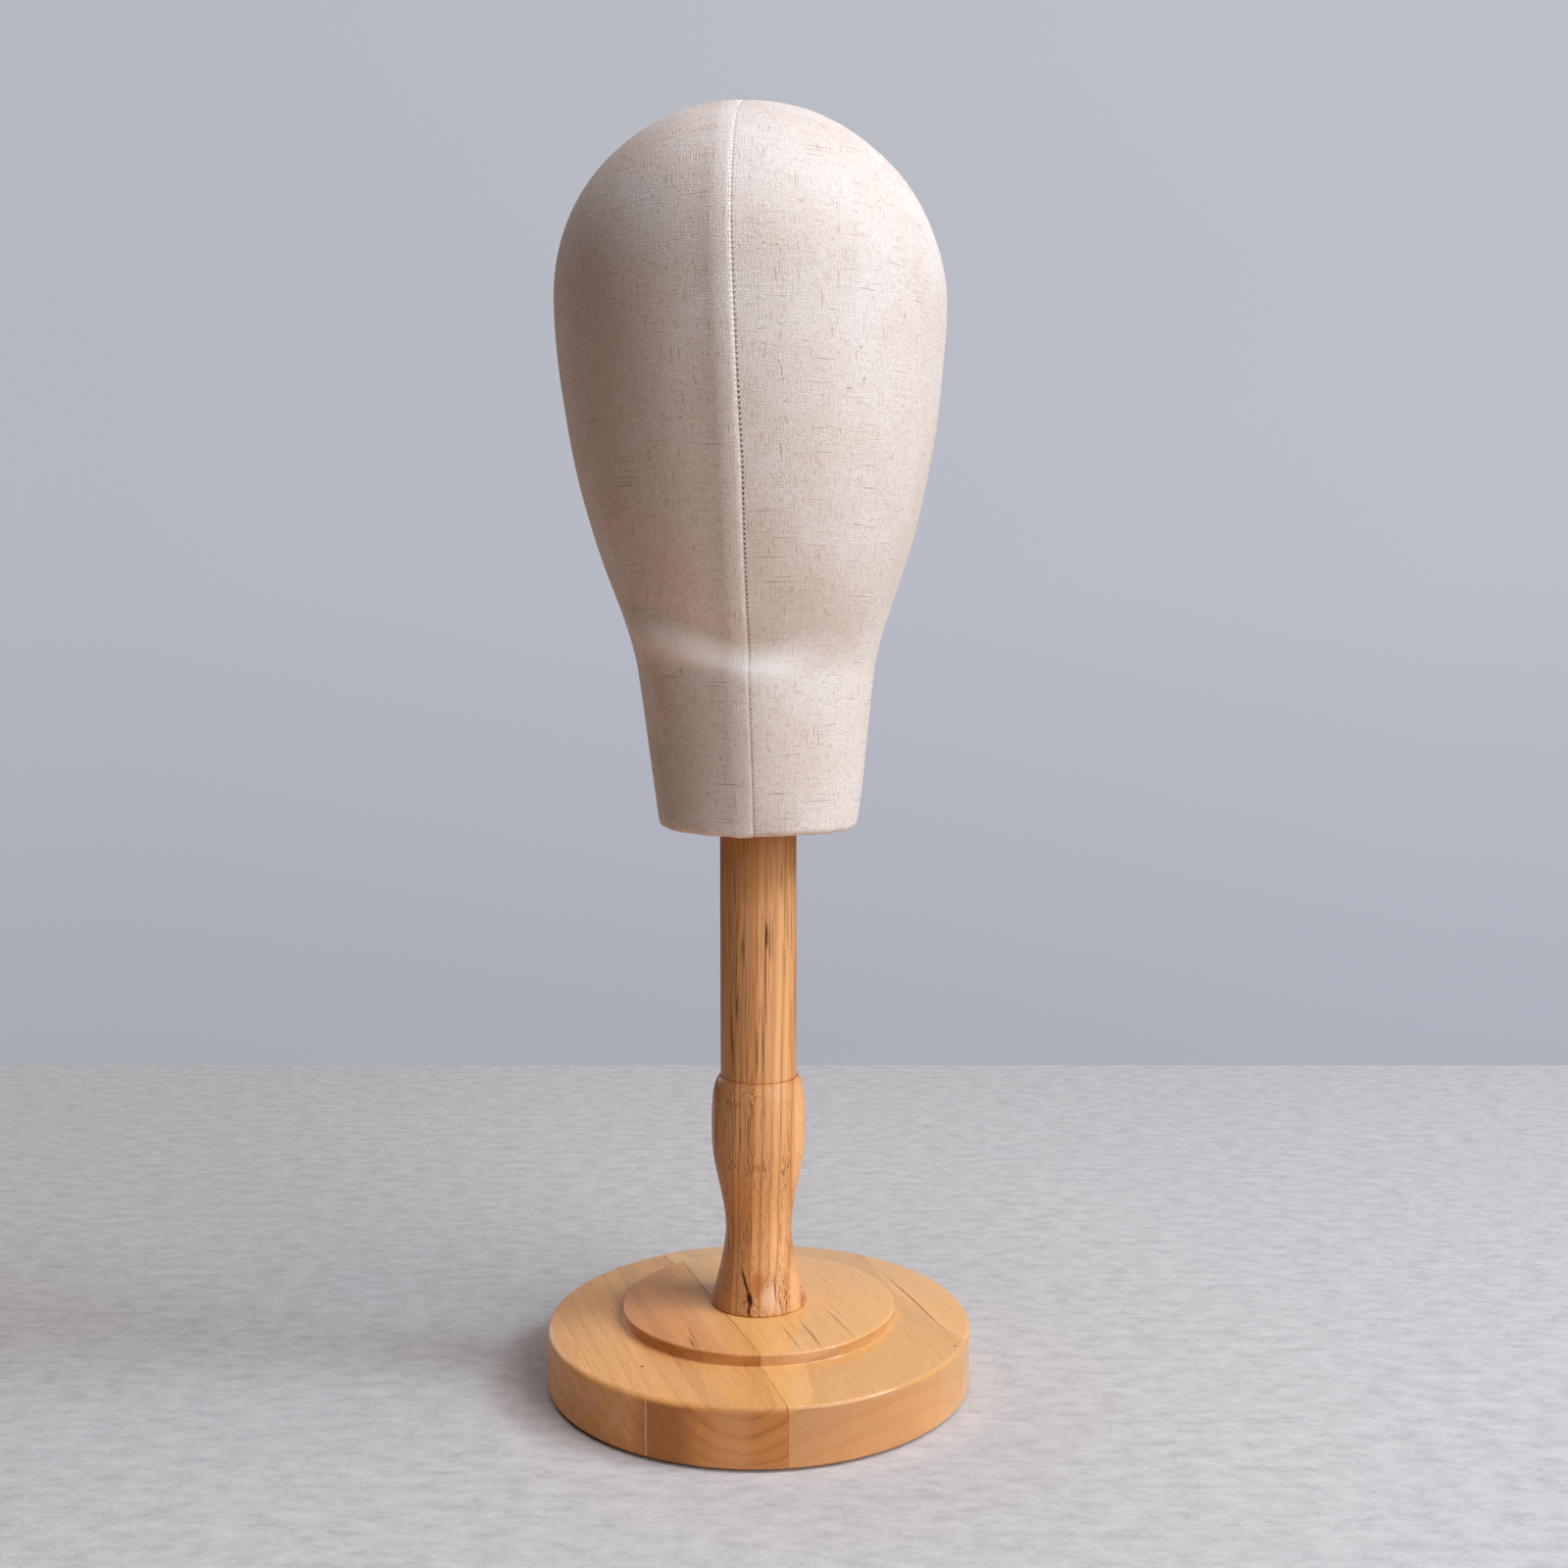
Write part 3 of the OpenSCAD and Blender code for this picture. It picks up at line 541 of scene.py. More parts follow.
def head_lean(z):
    """The head's shift along X at a height, from its lean."""
    return -HEAD_LEAN * np.clip(z - PLATE_TOP, 0, None) / (BROW_Z - PLATE_TOP)


def bump_of(distance, width):
    """1 at no distance, falling smoothly to 0."""
    return np.exp(-(distance / width) ** 2)


def smooth_step(t):
    """0 up to 0, 1 from 1 on, and a smooth rise between."""
    t = np.clip(t, 0, 1)
    return t * t * (3 - 2 * t)


# Linen cover

# Heights of the cloth beside the seam, at distances from it, in millimetres. The seam allowances
# lie to the left, so the left panel stands proud there and rolls over into the seam.
LEFT_SEAM = ((0, -0.6), (0.2, -0.15), (0.45, 0.12), (0.75, 0.3), (1.1, 0.41), (1.7, 0.53), (2.6, 0.665),
             (4, 0.8), (5.5, 0.86), (6.6, 0.83), (8, 0.62), (10, 0.32), (12.5, 0.1), (15, 0))
RIGHT_SEAM = ((0, -0.6), (0.25, -0.24), (0.6, -0.05), (1, 0))
# How far the front seam strays from the middle of the face, at heights, in millimetres
SEAM_STRAY = ((237, 0.8), (300, 0.6), (330, 1.2), (378, 1.9), (430, 0.6), (460, 0))
STRAY_W = 25 * MM
KEEL, KEEL_W, KEEL_TOP, KEEL_FOOT = 1.7 * MM, 15 * MM, 55 * MM, 14 * MM
# The seam lies flatter over the crown and below the fold
CROWN_FLATTER, CROWN_FLAT_DROP, CROWN_FLAT_W = 0.65, 25 * MM, 75 * MM
NECK_FLATTER, NECK_FLAT_W = 0.4, 12 * MM
# The fold under the chin: its crease rises to the sides, by a given height at a given turn
FOLD_Z, FOLD_RISE, FOLD_H, FOLD_W = 316.5 * MM, 17 * MM, 5.4 * MM, 13 * MM
FOLD_TURN = math.radians(60)
LEFT_FOLD_POWER, RIGHT_FOLD_POWER, RIGHT_FOLD_SHARE = 1.3, 2, 0.6
LEFT_FOLD_END, LEFT_FOLD_FADE, RIGHT_FOLD_W = 0.25, 0.55, math.radians(24)
# In widths of the fold: how far it runs out below, and where its painted highlight lies
FOLD_TAIL, HIGHLIGHT_RISE, HIGHLIGHT_END, HIGHLIGHT_FALL = 5, 0.6, 0.7, 0.9
# Strengths of the painted highlights on the fold under the chin and on the seam's edge, and how the edge's
# highlight fades towards the crown and at the fold
FOLD_HIGHLIGHT, EDGE_HIGHLIGHT, EDGE_TOP, EDGE_LOST = 0.75, 0.65, 50 * MM, 0.7
# The stitches' pull at the crown, what the face adds over a run, what the fold takes, and where
PULL, PULL_GAIN, PULL_RUN, PULL_LOST, PULL_LEAST = 0.3, 0.65, 90 * MM, 0.45, 0.8
# Sizes of the lumps in the filling, the uneven lower edge and the hem's gathers, and their height
LUMP, EDGE_LUMP, GATHER_LUMP, LUMP_H = 34 * MM, 9 * MM, 12 * MM, 0.4 * MM
EDGE_LUMP_W, GATHERS, GATHER_STRAY = 6 * MM, 17, 1.5
CLOTH_STEP, DOME_RUN, EDGE_STEPS, HEM_STEPS, SIDE_COLUMNS = 1.9 * MM, 130 * MM, 6, 8, 74
# Where the cloth's lines change from front to side to back, in degrees, and to the crown
CUT_TURNS, CROWN_CUT = (52, 128), 0.8


def along_line(line, at):
    """Values of a line given as (place, value) pairs in millimetres, at places in metres."""
    places, values = zip(*line)
    return np.interp(at * TO_MM, places, values) * MM


def uneven(points, size, seed):
    """Smooth noise from -1 to 1 at each point, with lumps of about that size."""
    shift = Vector((seed, 2 * seed, 3 * seed))
    flat = points.reshape(-1, 3)
    values = [noise.noise(Vector(p) / size + shift) for p in flat]
    return np.array(values).reshape(points.shape[:-1])


def linen_levels():
    """Rings of the cover as (height, inset from the neck's edge): crown, sides, rounded edge, hem."""
    dome = CROWN_Z - BROW_Z
    dome_steps = int(DOME_RUN / CLOTH_STEP)
    levels = [(BROW_Z + dome * math.cos(math.pi / 2 * i / dome_steps), 0)
              for i in range(1, dome_steps + 1)]
    edge_z = NECK_Z + NECK_ROUND
    side_steps = int((BROW_Z - edge_z) / CLOTH_STEP)
    levels += [(BROW_Z - (BROW_Z - edge_z) * i / side_steps, 0) for i in range(1, side_steps + 1)]
    for i in range(1, EDGE_STEPS + 1):
        turn = math.pi / 2 * i / EDGE_STEPS
        levels.append((edge_z - NECK_ROUND * math.sin(turn), NECK_ROUND * (1 - math.cos(turn))))
    levels += [(NECK_Z, NECK_ROUND + (HEM_W - NECK_ROUND) * i / HEM_STEPS)
               for i in range(1, HEM_STEPS + 1)]
    return levels


def linen_angles():
    """Columns of a panel from the front seam to the back seam, close together at both."""
    near = [0, 0.1, 0.2, 0.32, 0.45, 0.6, 0.75, 0.95, 1.2, 1.7, 2.6, 4, 5.5, 6.6, 8, 10, 12.5, 15]
    near = [math.atan2(s * MM, HALF_BREADTH) for s in near]
    middle = np.linspace(near[-1], math.pi - near[-1], SIDE_COLUMNS)[1:-1]
    return np.array(near + list(middle) + [math.pi - a for a in reversed(near)])


def chin_fold(angle, z, side):
    """How far the fold under the chin stands out, and how strong the painted highlight over it is."""
    aside = np.sin(angle) / math.sin(FOLD_TURN)
    if side < 0:
        rise = FOLD_RISE * aside ** LEFT_FOLD_POWER
        in_front = smooth_step((np.cos(angle) - LEFT_FOLD_END) / LEFT_FOLD_FADE)
    else:
        rise = RIGHT_FOLD_SHARE * FOLD_RISE * aside ** RIGHT_FOLD_POWER
        in_front = bump_of(angle, RIGHT_FOLD_W)
    below = (FOLD_Z + rise - z) / FOLD_W
    fold = smooth_step(below) * (1 - smooth_step((below - 1) / FOLD_TAIL))
    fold_highlight = in_front * smooth_step(below / HIGHLIGHT_RISE)
    fold_highlight = fold_highlight * (1 - smooth_step((below - HIGHLIGHT_END) / HIGHLIGHT_FALL))
    return FOLD_H * in_front * fold, fold_highlight * FOLD_HIGHLIGHT


def seam_pull_and_highlight(z):
    """How hard the stitches pull on the cloth at a height, and how strong the painted highlight on its edge
    is there.
    """
    pull = PULL + PULL_GAIN * smooth_step((BROW_Z - z) / PULL_RUN)
    pull -= PULL_LOST * smooth_step((FOLD_Z - z) / FOLD_W)
    pull -= PULL_LOST * bump_of(FOLD_Z - z - PULL_LEAST * FOLD_W, FOLD_W)
    edge_highlight = smooth_step((CROWN_Z - z) / EDGE_TOP)
    edge_highlight = edge_highlight * (1 - EDGE_LOST * smooth_step((FOLD_Z - z + FOLD_W) / FOLD_W))
    return pull, EDGE_HIGHLIGHT * edge_highlight


def linen_form(side):
    """The cover on one side of the head: its plain form, outward normals, true points, the stitches' pull
    and painted highlights.
    """
    levels = linen_levels()
    angles = linen_angles()
    z = np.array([level[0] for level in levels])[:, None] + 0 * angles
    inset = np.array([level[1] for level in levels])[:, None] + 0 * angles
    angle = angles[None, :] + 0 * z
    radius = head_radius(angle, np.maximum(z, NECK_Z + NECK_ROUND)) - inset
    from_seam = radius * np.sin(angle)
    stray = along_line(SEAM_STRAY, z) * (np.cos(angle) > 0) * bump_of(from_seam, STRAY_W)
    plain = np.stack([side * from_seam + head_lean(z) + stray, -radius * np.cos(angle), z], -1)
    normal = np.cross(np.gradient(plain, axis=0), np.gradient(plain, axis=1)) * side
    normal /= np.linalg.norm(normal, axis=-1, keepdims=True)

    # A keel along the seam where the cloth is drawn tight, which runs out at the crown and at the hem
    keel = smooth_step((CROWN_Z - z) / KEEL_TOP) * smooth_step((z - NECK_Z) / KEEL_FOOT)
    height = KEEL * keel * np.exp(-from_seam / KEEL_W)
    flatter = 1 - CROWN_FLATTER * smooth_step((z - BROW_Z + CROWN_FLAT_DROP) / CROWN_FLAT_W)
    flatter -= NECK_FLATTER * smooth_step((FOLD_Z - z) / NECK_FLAT_W)
    height += flatter * along_line(LEFT_SEAM if side < 0 else RIGHT_SEAM, from_seam)
    fold, fold_highlight = chin_fold(angle, z, side)
    height += fold
    # Lumps of the filling, an uneven lower edge, and gathers in the hem
    height += LUMP_H * uneven(plain, LUMP, seed=3)
    height += LUMP_H * bump_of(z - NECK_Z, EDGE_LUMP_W) * uneven(plain, EDGE_LUMP, seed=8)
    gathers = 1 + np.sin(angle * GATHERS + GATHER_STRAY * uneven(plain, GATHER_LUMP, seed=5) + side)
    height += LUMP_H * smooth_step(inset / HEM_W) ** 2 * gathers
    # The painted highlight over the fold, the stitches' pull, and the painted highlight on the seam's edge
    pull_and_highlights = np.stack([fold_highlight, *seam_pull_and_highlight(z)], -1)
    return plain, normal, plain + normal * height[..., None], pull_and_highlights


def cloth_places(plain, side):
    """Each point's place on the cloth and distance from the seam in millimetres, for four cuts of it."""
    steps = np.linalg.norm(np.diff(plain, axis=1), axis=-1)
    girth = np.concatenate([np.zeros((len(plain), 1)), np.cumsum(steps, axis=1)], axis=1)
    from_seam = side * np.minimum(girth, girth[:, -1:] - girth)
    brow = np.argmin(np.abs(plain[:, 0, 2] - BROW_Z))
    places = []
    for column in (0, girth.shape[1] // 2, girth.shape[1] - 1):
        run = np.concatenate([[0], np.cumsum(np.linalg.norm(np.diff(plain[:, column], axis=0), axis=-1))])
        run = np.broadcast_to((run[brow] - run)[:, None], girth.shape)
        places.append(np.stack([side * (girth - girth[:, column:column + 1]), run, from_seam], -1))
    places.append(np.stack([plain[..., 0], plain[..., 1], from_seam], -1))
    return np.stack(places) * TO_MM


def linen_panel(name, side, material):
    """Half of the cover, from the front seam to the back seam, with its hem turned under."""
    plain, normal, outer, pull_and_highlights = linen_form(side)
    inner = plain - normal * LINEN_T
    crown_x = float(head_lean(np.array(CROWN_Z)))
    tip = (crown_x, 0, CROWN_Z + 0.4 * LEFT_SEAM[0][1] * MM)
    tip_inner = (crown_x, 0, CROWN_Z - LINEN_T)
    rings, columns = plain.shape[:2]
    layer = rings * columns + 1
    points = [tip, *outer.reshape(-1, 3), tip_inner, *inner.reshape(-1, 3)]

    def out(r, c):
        return 1 + r * columns + c

    def inn(r, c):
        return layer + out(r, c)

    last_r, last_c = rings - 1, columns - 1
    faces = []
    for c in range(last_c):
        faces += [(0, out(0, c), out(0, c + 1)), (layer, inn(0, c + 1), inn(0, c))]
        faces.append((out(last_r, c + 1), out(last_r, c), inn(last_r, c), inn(last_r, c + 1)))
        for r in range(last_r):
            faces.append((out(r, c), out(r + 1, c), out(r + 1, c + 1), out(r, c + 1)))
            faces.append((inn(r, c), inn(r, c + 1), inn(r + 1, c + 1), inn(r + 1, c)))
    for r in range(last_r):
        faces.append((out(r, 0), inn(r, 0), inn(r + 1, 0), out(r + 1, 0)))
        faces.append((out(r + 1, last_c), inn(r + 1, last_c), inn(r, last_c), out(r, last_c)))
    faces.append((0, layer, inn(0, 0), out(0, 0)))
    faces.append((out(0, last_c), inn(0, last_c), layer, 0))
    if side < 0:
        faces = [tuple(reversed(face)) for face in faces]
    piece = make_piece(name, points, faces, material, "head", [name], smooth_angle=70)

    # Which cut of the cloth a face takes: front, side, back or, near the crown, top
    mesh = piece.data
    angle = np.arctan2(np.abs(plain[..., 0]), -plain[..., 1])
    on_top = plain[..., 2] > BROW_Z + CROWN_CUT * (CROWN_Z - BROW_Z)
    cut = np.where(on_top, 3, np.digitize(np.degrees(angle), CUT_TURNS))
    cut = np.concatenate([[3], cut.ravel()])
    places = cloth_places(plain, side).reshape(4, -1, 3)
    places = np.concatenate([np.zeros((4, 1, 3)), places], axis=1)
    corners = np.zeros(len(mesh.loops), int)
    mesh.loops.foreach_get("vertex_index", corners)
    corners %= layer
    starts = np.zeros(len(mesh.polygons), int)
    sizes = np.zeros(len(mesh.polygons), int)
    mesh.polygons.foreach_get("loop_start", starts)
    mesh.polygons.foreach_get("loop_total", sizes)
    face_cut = np.repeat(cut[corners[starts]], sizes)
    attribute = mesh.attributes.new("cloth", "FLOAT_VECTOR", "CORNER")
    attribute.data.foreach_set("vector", places[face_cut, corners].ravel())

    attribute = mesh.attributes.new("pull_and_highlights", "FLOAT_VECTOR", "POINT")
    pull_and_highlights = np.concatenate([[(0, 0, 0)], pull_and_highlights.reshape(-1, 3)])
    attribute.data.foreach_set("vector", np.concatenate([pull_and_highlights, pull_and_highlights]).ravel())

    return outer


# The column of a panel that the stitches go through, and a stitch's course as (share, lift in millimetres)
STITCH_COLUMN = 5
STITCH_COURSE = ((-0.25, -0.25), (0.1, 0.05), (0.5, 0.12), (0.9, 0.05), (1.25, -0.25))


def wire_faces(first, rings, sides):
    """Faces of a round wire with closed ends, whose rings of points start at a number."""
    faces = []
    for ring in range(rings - 1):
        for s in range(sides):
            a, b = first + ring * sides + s, first + ring * sides + (s + 1) % sides
            faces.append((a, b, b + sides, a + sides))
    faces.append(tuple(first + s for s in reversed(range(sides))))
    faces.append(tuple(first + (rings - 1) * sides + s for s in range(sides)))
    return faces


def seam_stitches(left, right, material):
    """Short slanted stitches that draw the two panels together, from the front hem to the back hem."""
    front, back = STITCH_COLUMN, -1 - STITCH_COLUMN
    left_line = np.concatenate([left[::-1, front], left[:, back]])
    right_line = np.concatenate([right[::-1, front], right[:, back]])
    middle = (left_line + right_line) / 2
    run = np.concatenate([[0], np.cumsum(np.linalg.norm(np.diff(middle, axis=0), axis=-1))])

    def at(line, distance):
        return np.array([np.interp(distance, run, line[:, axis]) for axis in range(3)])

    points, faces = [], []
    sides = 6
    for i in range(int(run[-1] / STITCH_PITCH)):
        here = (i + 0.5) * STITCH_PITCH
        start = at(left_line, here - STITCH_SLANT)
        end = at(right_line, here + STITCH_SLANT)
        away = at(middle, here + MM) - at(middle, here - MM)
        away /= np.linalg.norm(away)
        across = (end - start) / np.linalg.norm(end - start)
        up = np.cross(across, away)
        first = len(points)
        for t, lift in STITCH_COURSE:
            spot = start + (end - start) * t + up * lift * MM
            for s in range(sides):
                turn = 2 * math.pi * s / sides
                points.append(spot + STITCH_R * (math.cos(turn) * away + math.sin(turn) * up))
        faces += wire_faces(first, len(STITCH_COURSE), sides)
    make_piece(
        "seam_stitches", points, faces, material, "head", ["seam_thread"], smooth_angle=70)


STAPLES, STAPLE_RING, STAPLE_SUNK = 12, 35.5 * MM, 0.1 * MM
STAPLE_BACK, STAPLE_LEG, STAPLE_WIRE, STAPLE_BEND = 10 * MM, 7 * MM, 0.7 * MM, 0.9 * MM


def hem_staples(material):
    """Wire staples through the hem into the neck plate, their backs pressed into the cloth."""
    half = STAPLE_BACK / 2
    route = [(-half, STAPLE_LEG)]
    for corner, start in ((-half + STAPLE_BEND, 180), (half - STAPLE_BEND, 270)):
        bend = arc((0, 0), STAPLE_BEND, start, start + 90, 4)
        route += [(corner + x, STAPLE_BEND + z) for x, z in bend]
    route.append((half, STAPLE_LEG))
    sides = 8
    points, faces = [], []
    for i in range(STAPLES):
        turn = 2 * math.pi * (i + 0.5) / STAPLES
        outward = Vector((math.cos(turn), math.sin(turn), 0))
        along = Vector((-math.sin(turn), math.cos(turn), 0))
        start = outward * STAPLE_RING + Vector((0, 0, NECK_Z + STAPLE_SUNK))
        first = len(points)
        for k, (x, z) in enumerate(route):
            before, after = route[max(k - 1, 0)], route[min(k + 1, len(route) - 1)]
            ahead = (along * (after[0] - before[0]) + Vector((0, 0, after[1] - before[1]))).normalized()
            aside = ahead.cross(outward)
            for s in range(sides):
                around = 2 * math.pi * s / sides
                rim = outward * math.cos(around) + aside * math.sin(around)
                points.append(start + along * x + Vector((0, 0, z)) + rim * STAPLE_WIRE / 2)
        faces += wire_faces(first, len(route), sides)
    make_piece(
        "hem_staples", points, faces, material, "head", ["hem_staples"], smooth_angle=60)


# Turned wood

def lathe(outline, segments):
    """Points and faces of an outline, as (radius, height) pairs from axis to axis, turned round +Z."""
    points = [(0, 0, outline[0][1])]
    for r, z in outline[1:-1]:
        points += [(r * math.cos(2 * math.pi * i / segments), r * math.sin(2 * math.pi * i / segments), z)
                   for i in range(segments)]
    points.append((0, 0, outline[-1][1]))
    rings = len(outline) - 2
    faces = []
    for i in range(segments):
        j = (i + 1) % segments
        faces.append((0, 1 + j, 1 + i))
        for r in range(rings - 1):
            low, high = 1 + r * segments, 1 + (r + 1) * segments
            faces.append((low + i, low + j, high + j, high + i))
        top = 1 + (rings - 1) * segments
        faces.append((top + i, top + j, len(points) - 1))
    return points, faces


def arc(centre, r, start, end, steps):
    """Points of an arc from one angle to another, in degrees."""
    turns = [math.radians(start + (end - start) * i / steps) for i in range(steps + 1)]
    return [(centre[0] + r * math.cos(t), centre[1] + r * math.sin(t)) for t in turns]


SHAFT_R, FOOT_R, WAIST_R, BULGE_R = 16 * MM, 20.5 * MM, 14 * MM, 19.9 * MM
WAIST_UP, BULGE_LOW, BULGE_HIGH, SHOULDER_UP = 32 * MM, 73 * MM, 81 * MM, 98.5 * MM
FOOT_ROUND, TIP_CHAMFER = 0.8 * MM, 1.5 * MM
FLARE_POWER = 1.5
# Segments of the turned forms, and an inner ring of their flat ends as a share of the radius
POST_SEGMENTS, BASE_SEGMENTS, INNER_RING = 128, 240, 0.6


def post_outline():
    """Outline of the turned post: flared foot, waist, bulge with its shoulder, straight shaft."""
    steps = 30
    line = [(0, FOOT_Z), (FOOT_R * INNER_RING, FOOT_Z)]
    line += arc((FOOT_R - FOOT_ROUND, FOOT_Z + FOOT_ROUND), FOOT_ROUND, -90, 0, 5)
    for i in range(1, steps + 1):
        t = i / steps
        flare = WAIST_R + (FOOT_R - WAIST_R) * (1 - t) ** FLARE_POWER
        line.append((flare, FOOT_Z + FOOT_ROUND + (WAIST_UP - FOOT_ROUND) * t))
    for i in range(1, steps + 1):
        t = i / steps
        swell = WAIST_R + (BULGE_R - WAIST_R) * t * t * (3 - 2 * t)
        line.append((swell, FOOT_Z + WAIST_UP + (BULGE_LOW - WAIST_UP) * t))
    for i in range(steps + 1):
        turn = math.pi / 2 * i / steps
        line.append((SHAFT_R + (BULGE_R - SHAFT_R) * math.cos(turn),
                     FOOT_Z + BULGE_HIGH + (SHOULDER_UP - BULGE_HIGH) * math.sin(turn)))
    top = TIP_Z - TIP_CHAMFER
    shaft_steps = 40
    line += [(SHAFT_R, FOOT_Z + SHOULDER_UP + (top - FOOT_Z - SHOULDER_UP) * i / shaft_steps)
             for i in range(1, shaft_steps + 1)]
    line += [(SHAFT_R - TIP_CHAMFER, TIP_Z), (0, TIP_Z)]
    return line


STEP_R, STEP_ROUND, RIM_CHAMFER = 58 * MM, 1 * MM, 1 * MM
WORN_EDGE, CRISP_EDGE = 2.9 * MM, 1.8 * MM
# The top falls by this much towards the rim, from a distance off the step
TOP_FALL, TOP_LEVEL, STEP_FOOT = 2.4 * MM, 5 * MM, 0.3 * MM
BOARD_TURN = math.radians(22.5)
GLUE_LINES = (-18 * MM, 68 * MM)
GLUE_GAP = 0.05 * MM


def base_outline(edge):
    """Outline of the turned blank: chamfered underside, rounded rim, falling top, raised step."""
    line = [(0, FELT_T), (BASE_R - RIM_CHAMFER, FELT_T), (BASE_R, FELT_T + RIM_CHAMFER)]
    line += arc((BASE_R - edge, RIM_Z - TOP_FALL - edge), edge, 0, 90, 10)
    line += [(STEP_R + TOP_LEVEL, RIM_Z), (STEP_R + STEP_FOOT, RIM_Z), (STEP_R, RIM_Z + STEP_FOOT)]
    line += arc((STEP_R - STEP_ROUND, FOOT_Z - STEP_ROUND), STEP_ROUND, 0, 90, 6)
    return line + [(STEP_R * INNER_RING, FOOT_Z), (0, FOOT_Z)]


def base_board(name, low, high, edge, material, slot):
    """A board of the blank: the turned form cut at its glue lines."""
    points, faces = lathe(base_outline(edge), BASE_SEGMENTS)
    mesh = bpy.data.meshes.new(name)
    mesh.from_pydata(points, [], faces)
    form = bmesh.new()
    form.from_mesh(mesh)
    across = Vector((math.cos(BOARD_TURN), math.sin(BOARD_TURN), 0))
    for line, outward in ((low, -1), (high, 1)):
        if line is None:
            continue
        cut = bmesh.ops.bisect_plane(
            form, geom=form.verts[:] + form.edges[:] + form.faces[:], dist=1e-7,
            plane_co=across * (line - outward * GLUE_GAP), plane_no=across * outward, clear_outer=True)
        edges = [e for e in cut["geom_cut"] if isinstance(e, bmesh.types.BMEdge)]
        bmesh.ops.triangle_fill(form, edges=edges, use_beauty=True)
    bmesh.ops.recalc_face_normals(form, faces=form.faces[:])
    form.to_mesh(mesh)
    form.free()
    piece = bpy.data.objects.new(name, mesh)
    bpy.context.collection.objects.link(piece)
    finish_piece(piece, material, "stand", [name], 30)


# Build

linen = linen_material()
left_cloth = linen_panel("linen_left", -1, linen)
right_cloth = linen_panel("linen_right", 1, linen)
seam_stitches(left_cloth, right_cloth, thread_material())

# Marks of the post: a painted shadow of the head on the top of the shaft, a slit in the shaft, and at the
# foot a split with its dark resin and a pale patch
post_wood = wood_material(
    "lacquered_rubberwood_post", 0, pith=(70, 14), tilt=0.02, ring=4.5, rings_seen=(0.9, 0.9),
    colours=("#e9b37d", "#dda066", "#be7d46", "#6e3a18", "#d79a64", "#d0a080"), pores=(0.5, 26, 0.9, 0.06),
    coat=(0.15, 0.15), upright=True,
    # Painted shadow: the top of the shaft darker where the head shades it
    marks=(Mark((0, 237), 60, 40, "#8d5c34", 0.5),
           Mark((4.4, 193.8), 0.7, 9, "#3a1c0c", 0.95),
           Mark((0.6, 45.5), 4.2, 8, "#b85f26", 0.6),
           Mark((5.6, 40.5), 5.0, 7.5, "#e9bf98", 0.8),
           Mark((-4.6, 46.5), 0.9, 8, "#4a1f10", 0.95, lean=-0.3),
           Mark((-2.5, 40), 1.9, 4.6, "#3b1418", 0.97, lean=-0.15),
           Mark((-2.8, 35.5), 0.8, 4, "#4a1f10", 0.95),
           Mark((7.9, 44), 0.5, 8, "#5b2c12", 0.8, lean=-0.1),
           Mark((10.2, 38), 0.4, 6, "#6b3718", 0.7, lean=-0.2)))
points, faces = lathe(post_outline(), POST_SEGMENTS)
make_piece("post", points, faces, post_wood, "stand", ["post"])

# Marks of the boards: dark streaks along the grain, a pin knot, small checks and the glue lines, and on
# the rim a painted highlight as a thin pale upright line, a brown zone beside it and slanting pale bands
left_wood = wood_material(
    "lacquered_rubberwood_left_board", BOARD_TURN, pith=(-33, 40), tilt=0.02, ring=5.5,
    rings_seen=(0.3, 0.65), heart=((-47, 86), 57, "#d99256"),
    colours=("#f4b976", "#e8a864", "#c58750", "#7a4824", "#e3a25e", "#d0b6a4"),
    marks=(Mark((-61.5, -36.7), 0.9, 1.1, "#3f2413", 0.9),
           Mark((-40.2, -35), 0.7, 7, "#6d3b1f", 0.8, lean=0.05),
           Mark((-38, -30), 0.9, 20, "#a9683f", 0.5, lean=0.1),
           Mark((-18, 0), 0.35, 95, "#8a5328", 0.6),
           Mark((-60.5, -66), 15, 20, "#935427", 0.6, on_rim=True),
           Mark((-38.9, -81.2), 10, 12, "#dca679", 0.4, on_rim=True),
           Mark((-80.5, -49), 2.2, 30, "#e0b48a", 0.4, rise=0.35, on_rim=True),
           Mark((-88, -34), 1.6, 30, "#e0b48a", 0.4, rise=0.35, on_rim=True),
           # Painted highlight: a thin pale upright line on the rim, as a lamp's reflection in the lacquer
           Mark((-66.5, -60.5), 0.4, 3.5, "#f2d6b4", 0.5, on_rim=True)))
honey_wood = wood_material(
    "lacquered_rubberwood_boards", BOARD_TURN, pith=(30, -95), tilt=-0.02, ring=11, rings_seen=(0.3, 0.5),
    coat=(0.8, 0.09),
    colours=("#f9c078", "#f5ba70", "#e6a75e", "#85522a", "#efb066", "#ddd4e0"),
    marks=(Mark((-0.7, -42), 0.6, 19, "#a06a3a", 0.6, lean=0.03),
           Mark((8.2, -43), 0.8, 20, "#94602f", 0.7, lean=0.03),
           Mark((23.4, -34), 0.6, 24, "#a06a3a", 0.6, lean=-0.02),
           Mark((68, -8), 0.8, 42, "#96622f", 0.8),
           Mark((66, -57), 0.8, 1.4, "#5b3719", 0.8),
           Mark((-18, 0), 0.35, 95, "#8a5328", 0.6)))
base_board("base_board_left", None, GLUE_LINES[0], WORN_EDGE, left_wood, "base_wood_left")
base_board("base_board_middle", *GLUE_LINES, CRISP_EDGE, honey_wood, "base_wood")
base_board("base_board_right", GLUE_LINES[1], None, CRISP_EDGE, honey_wood, "base_wood")

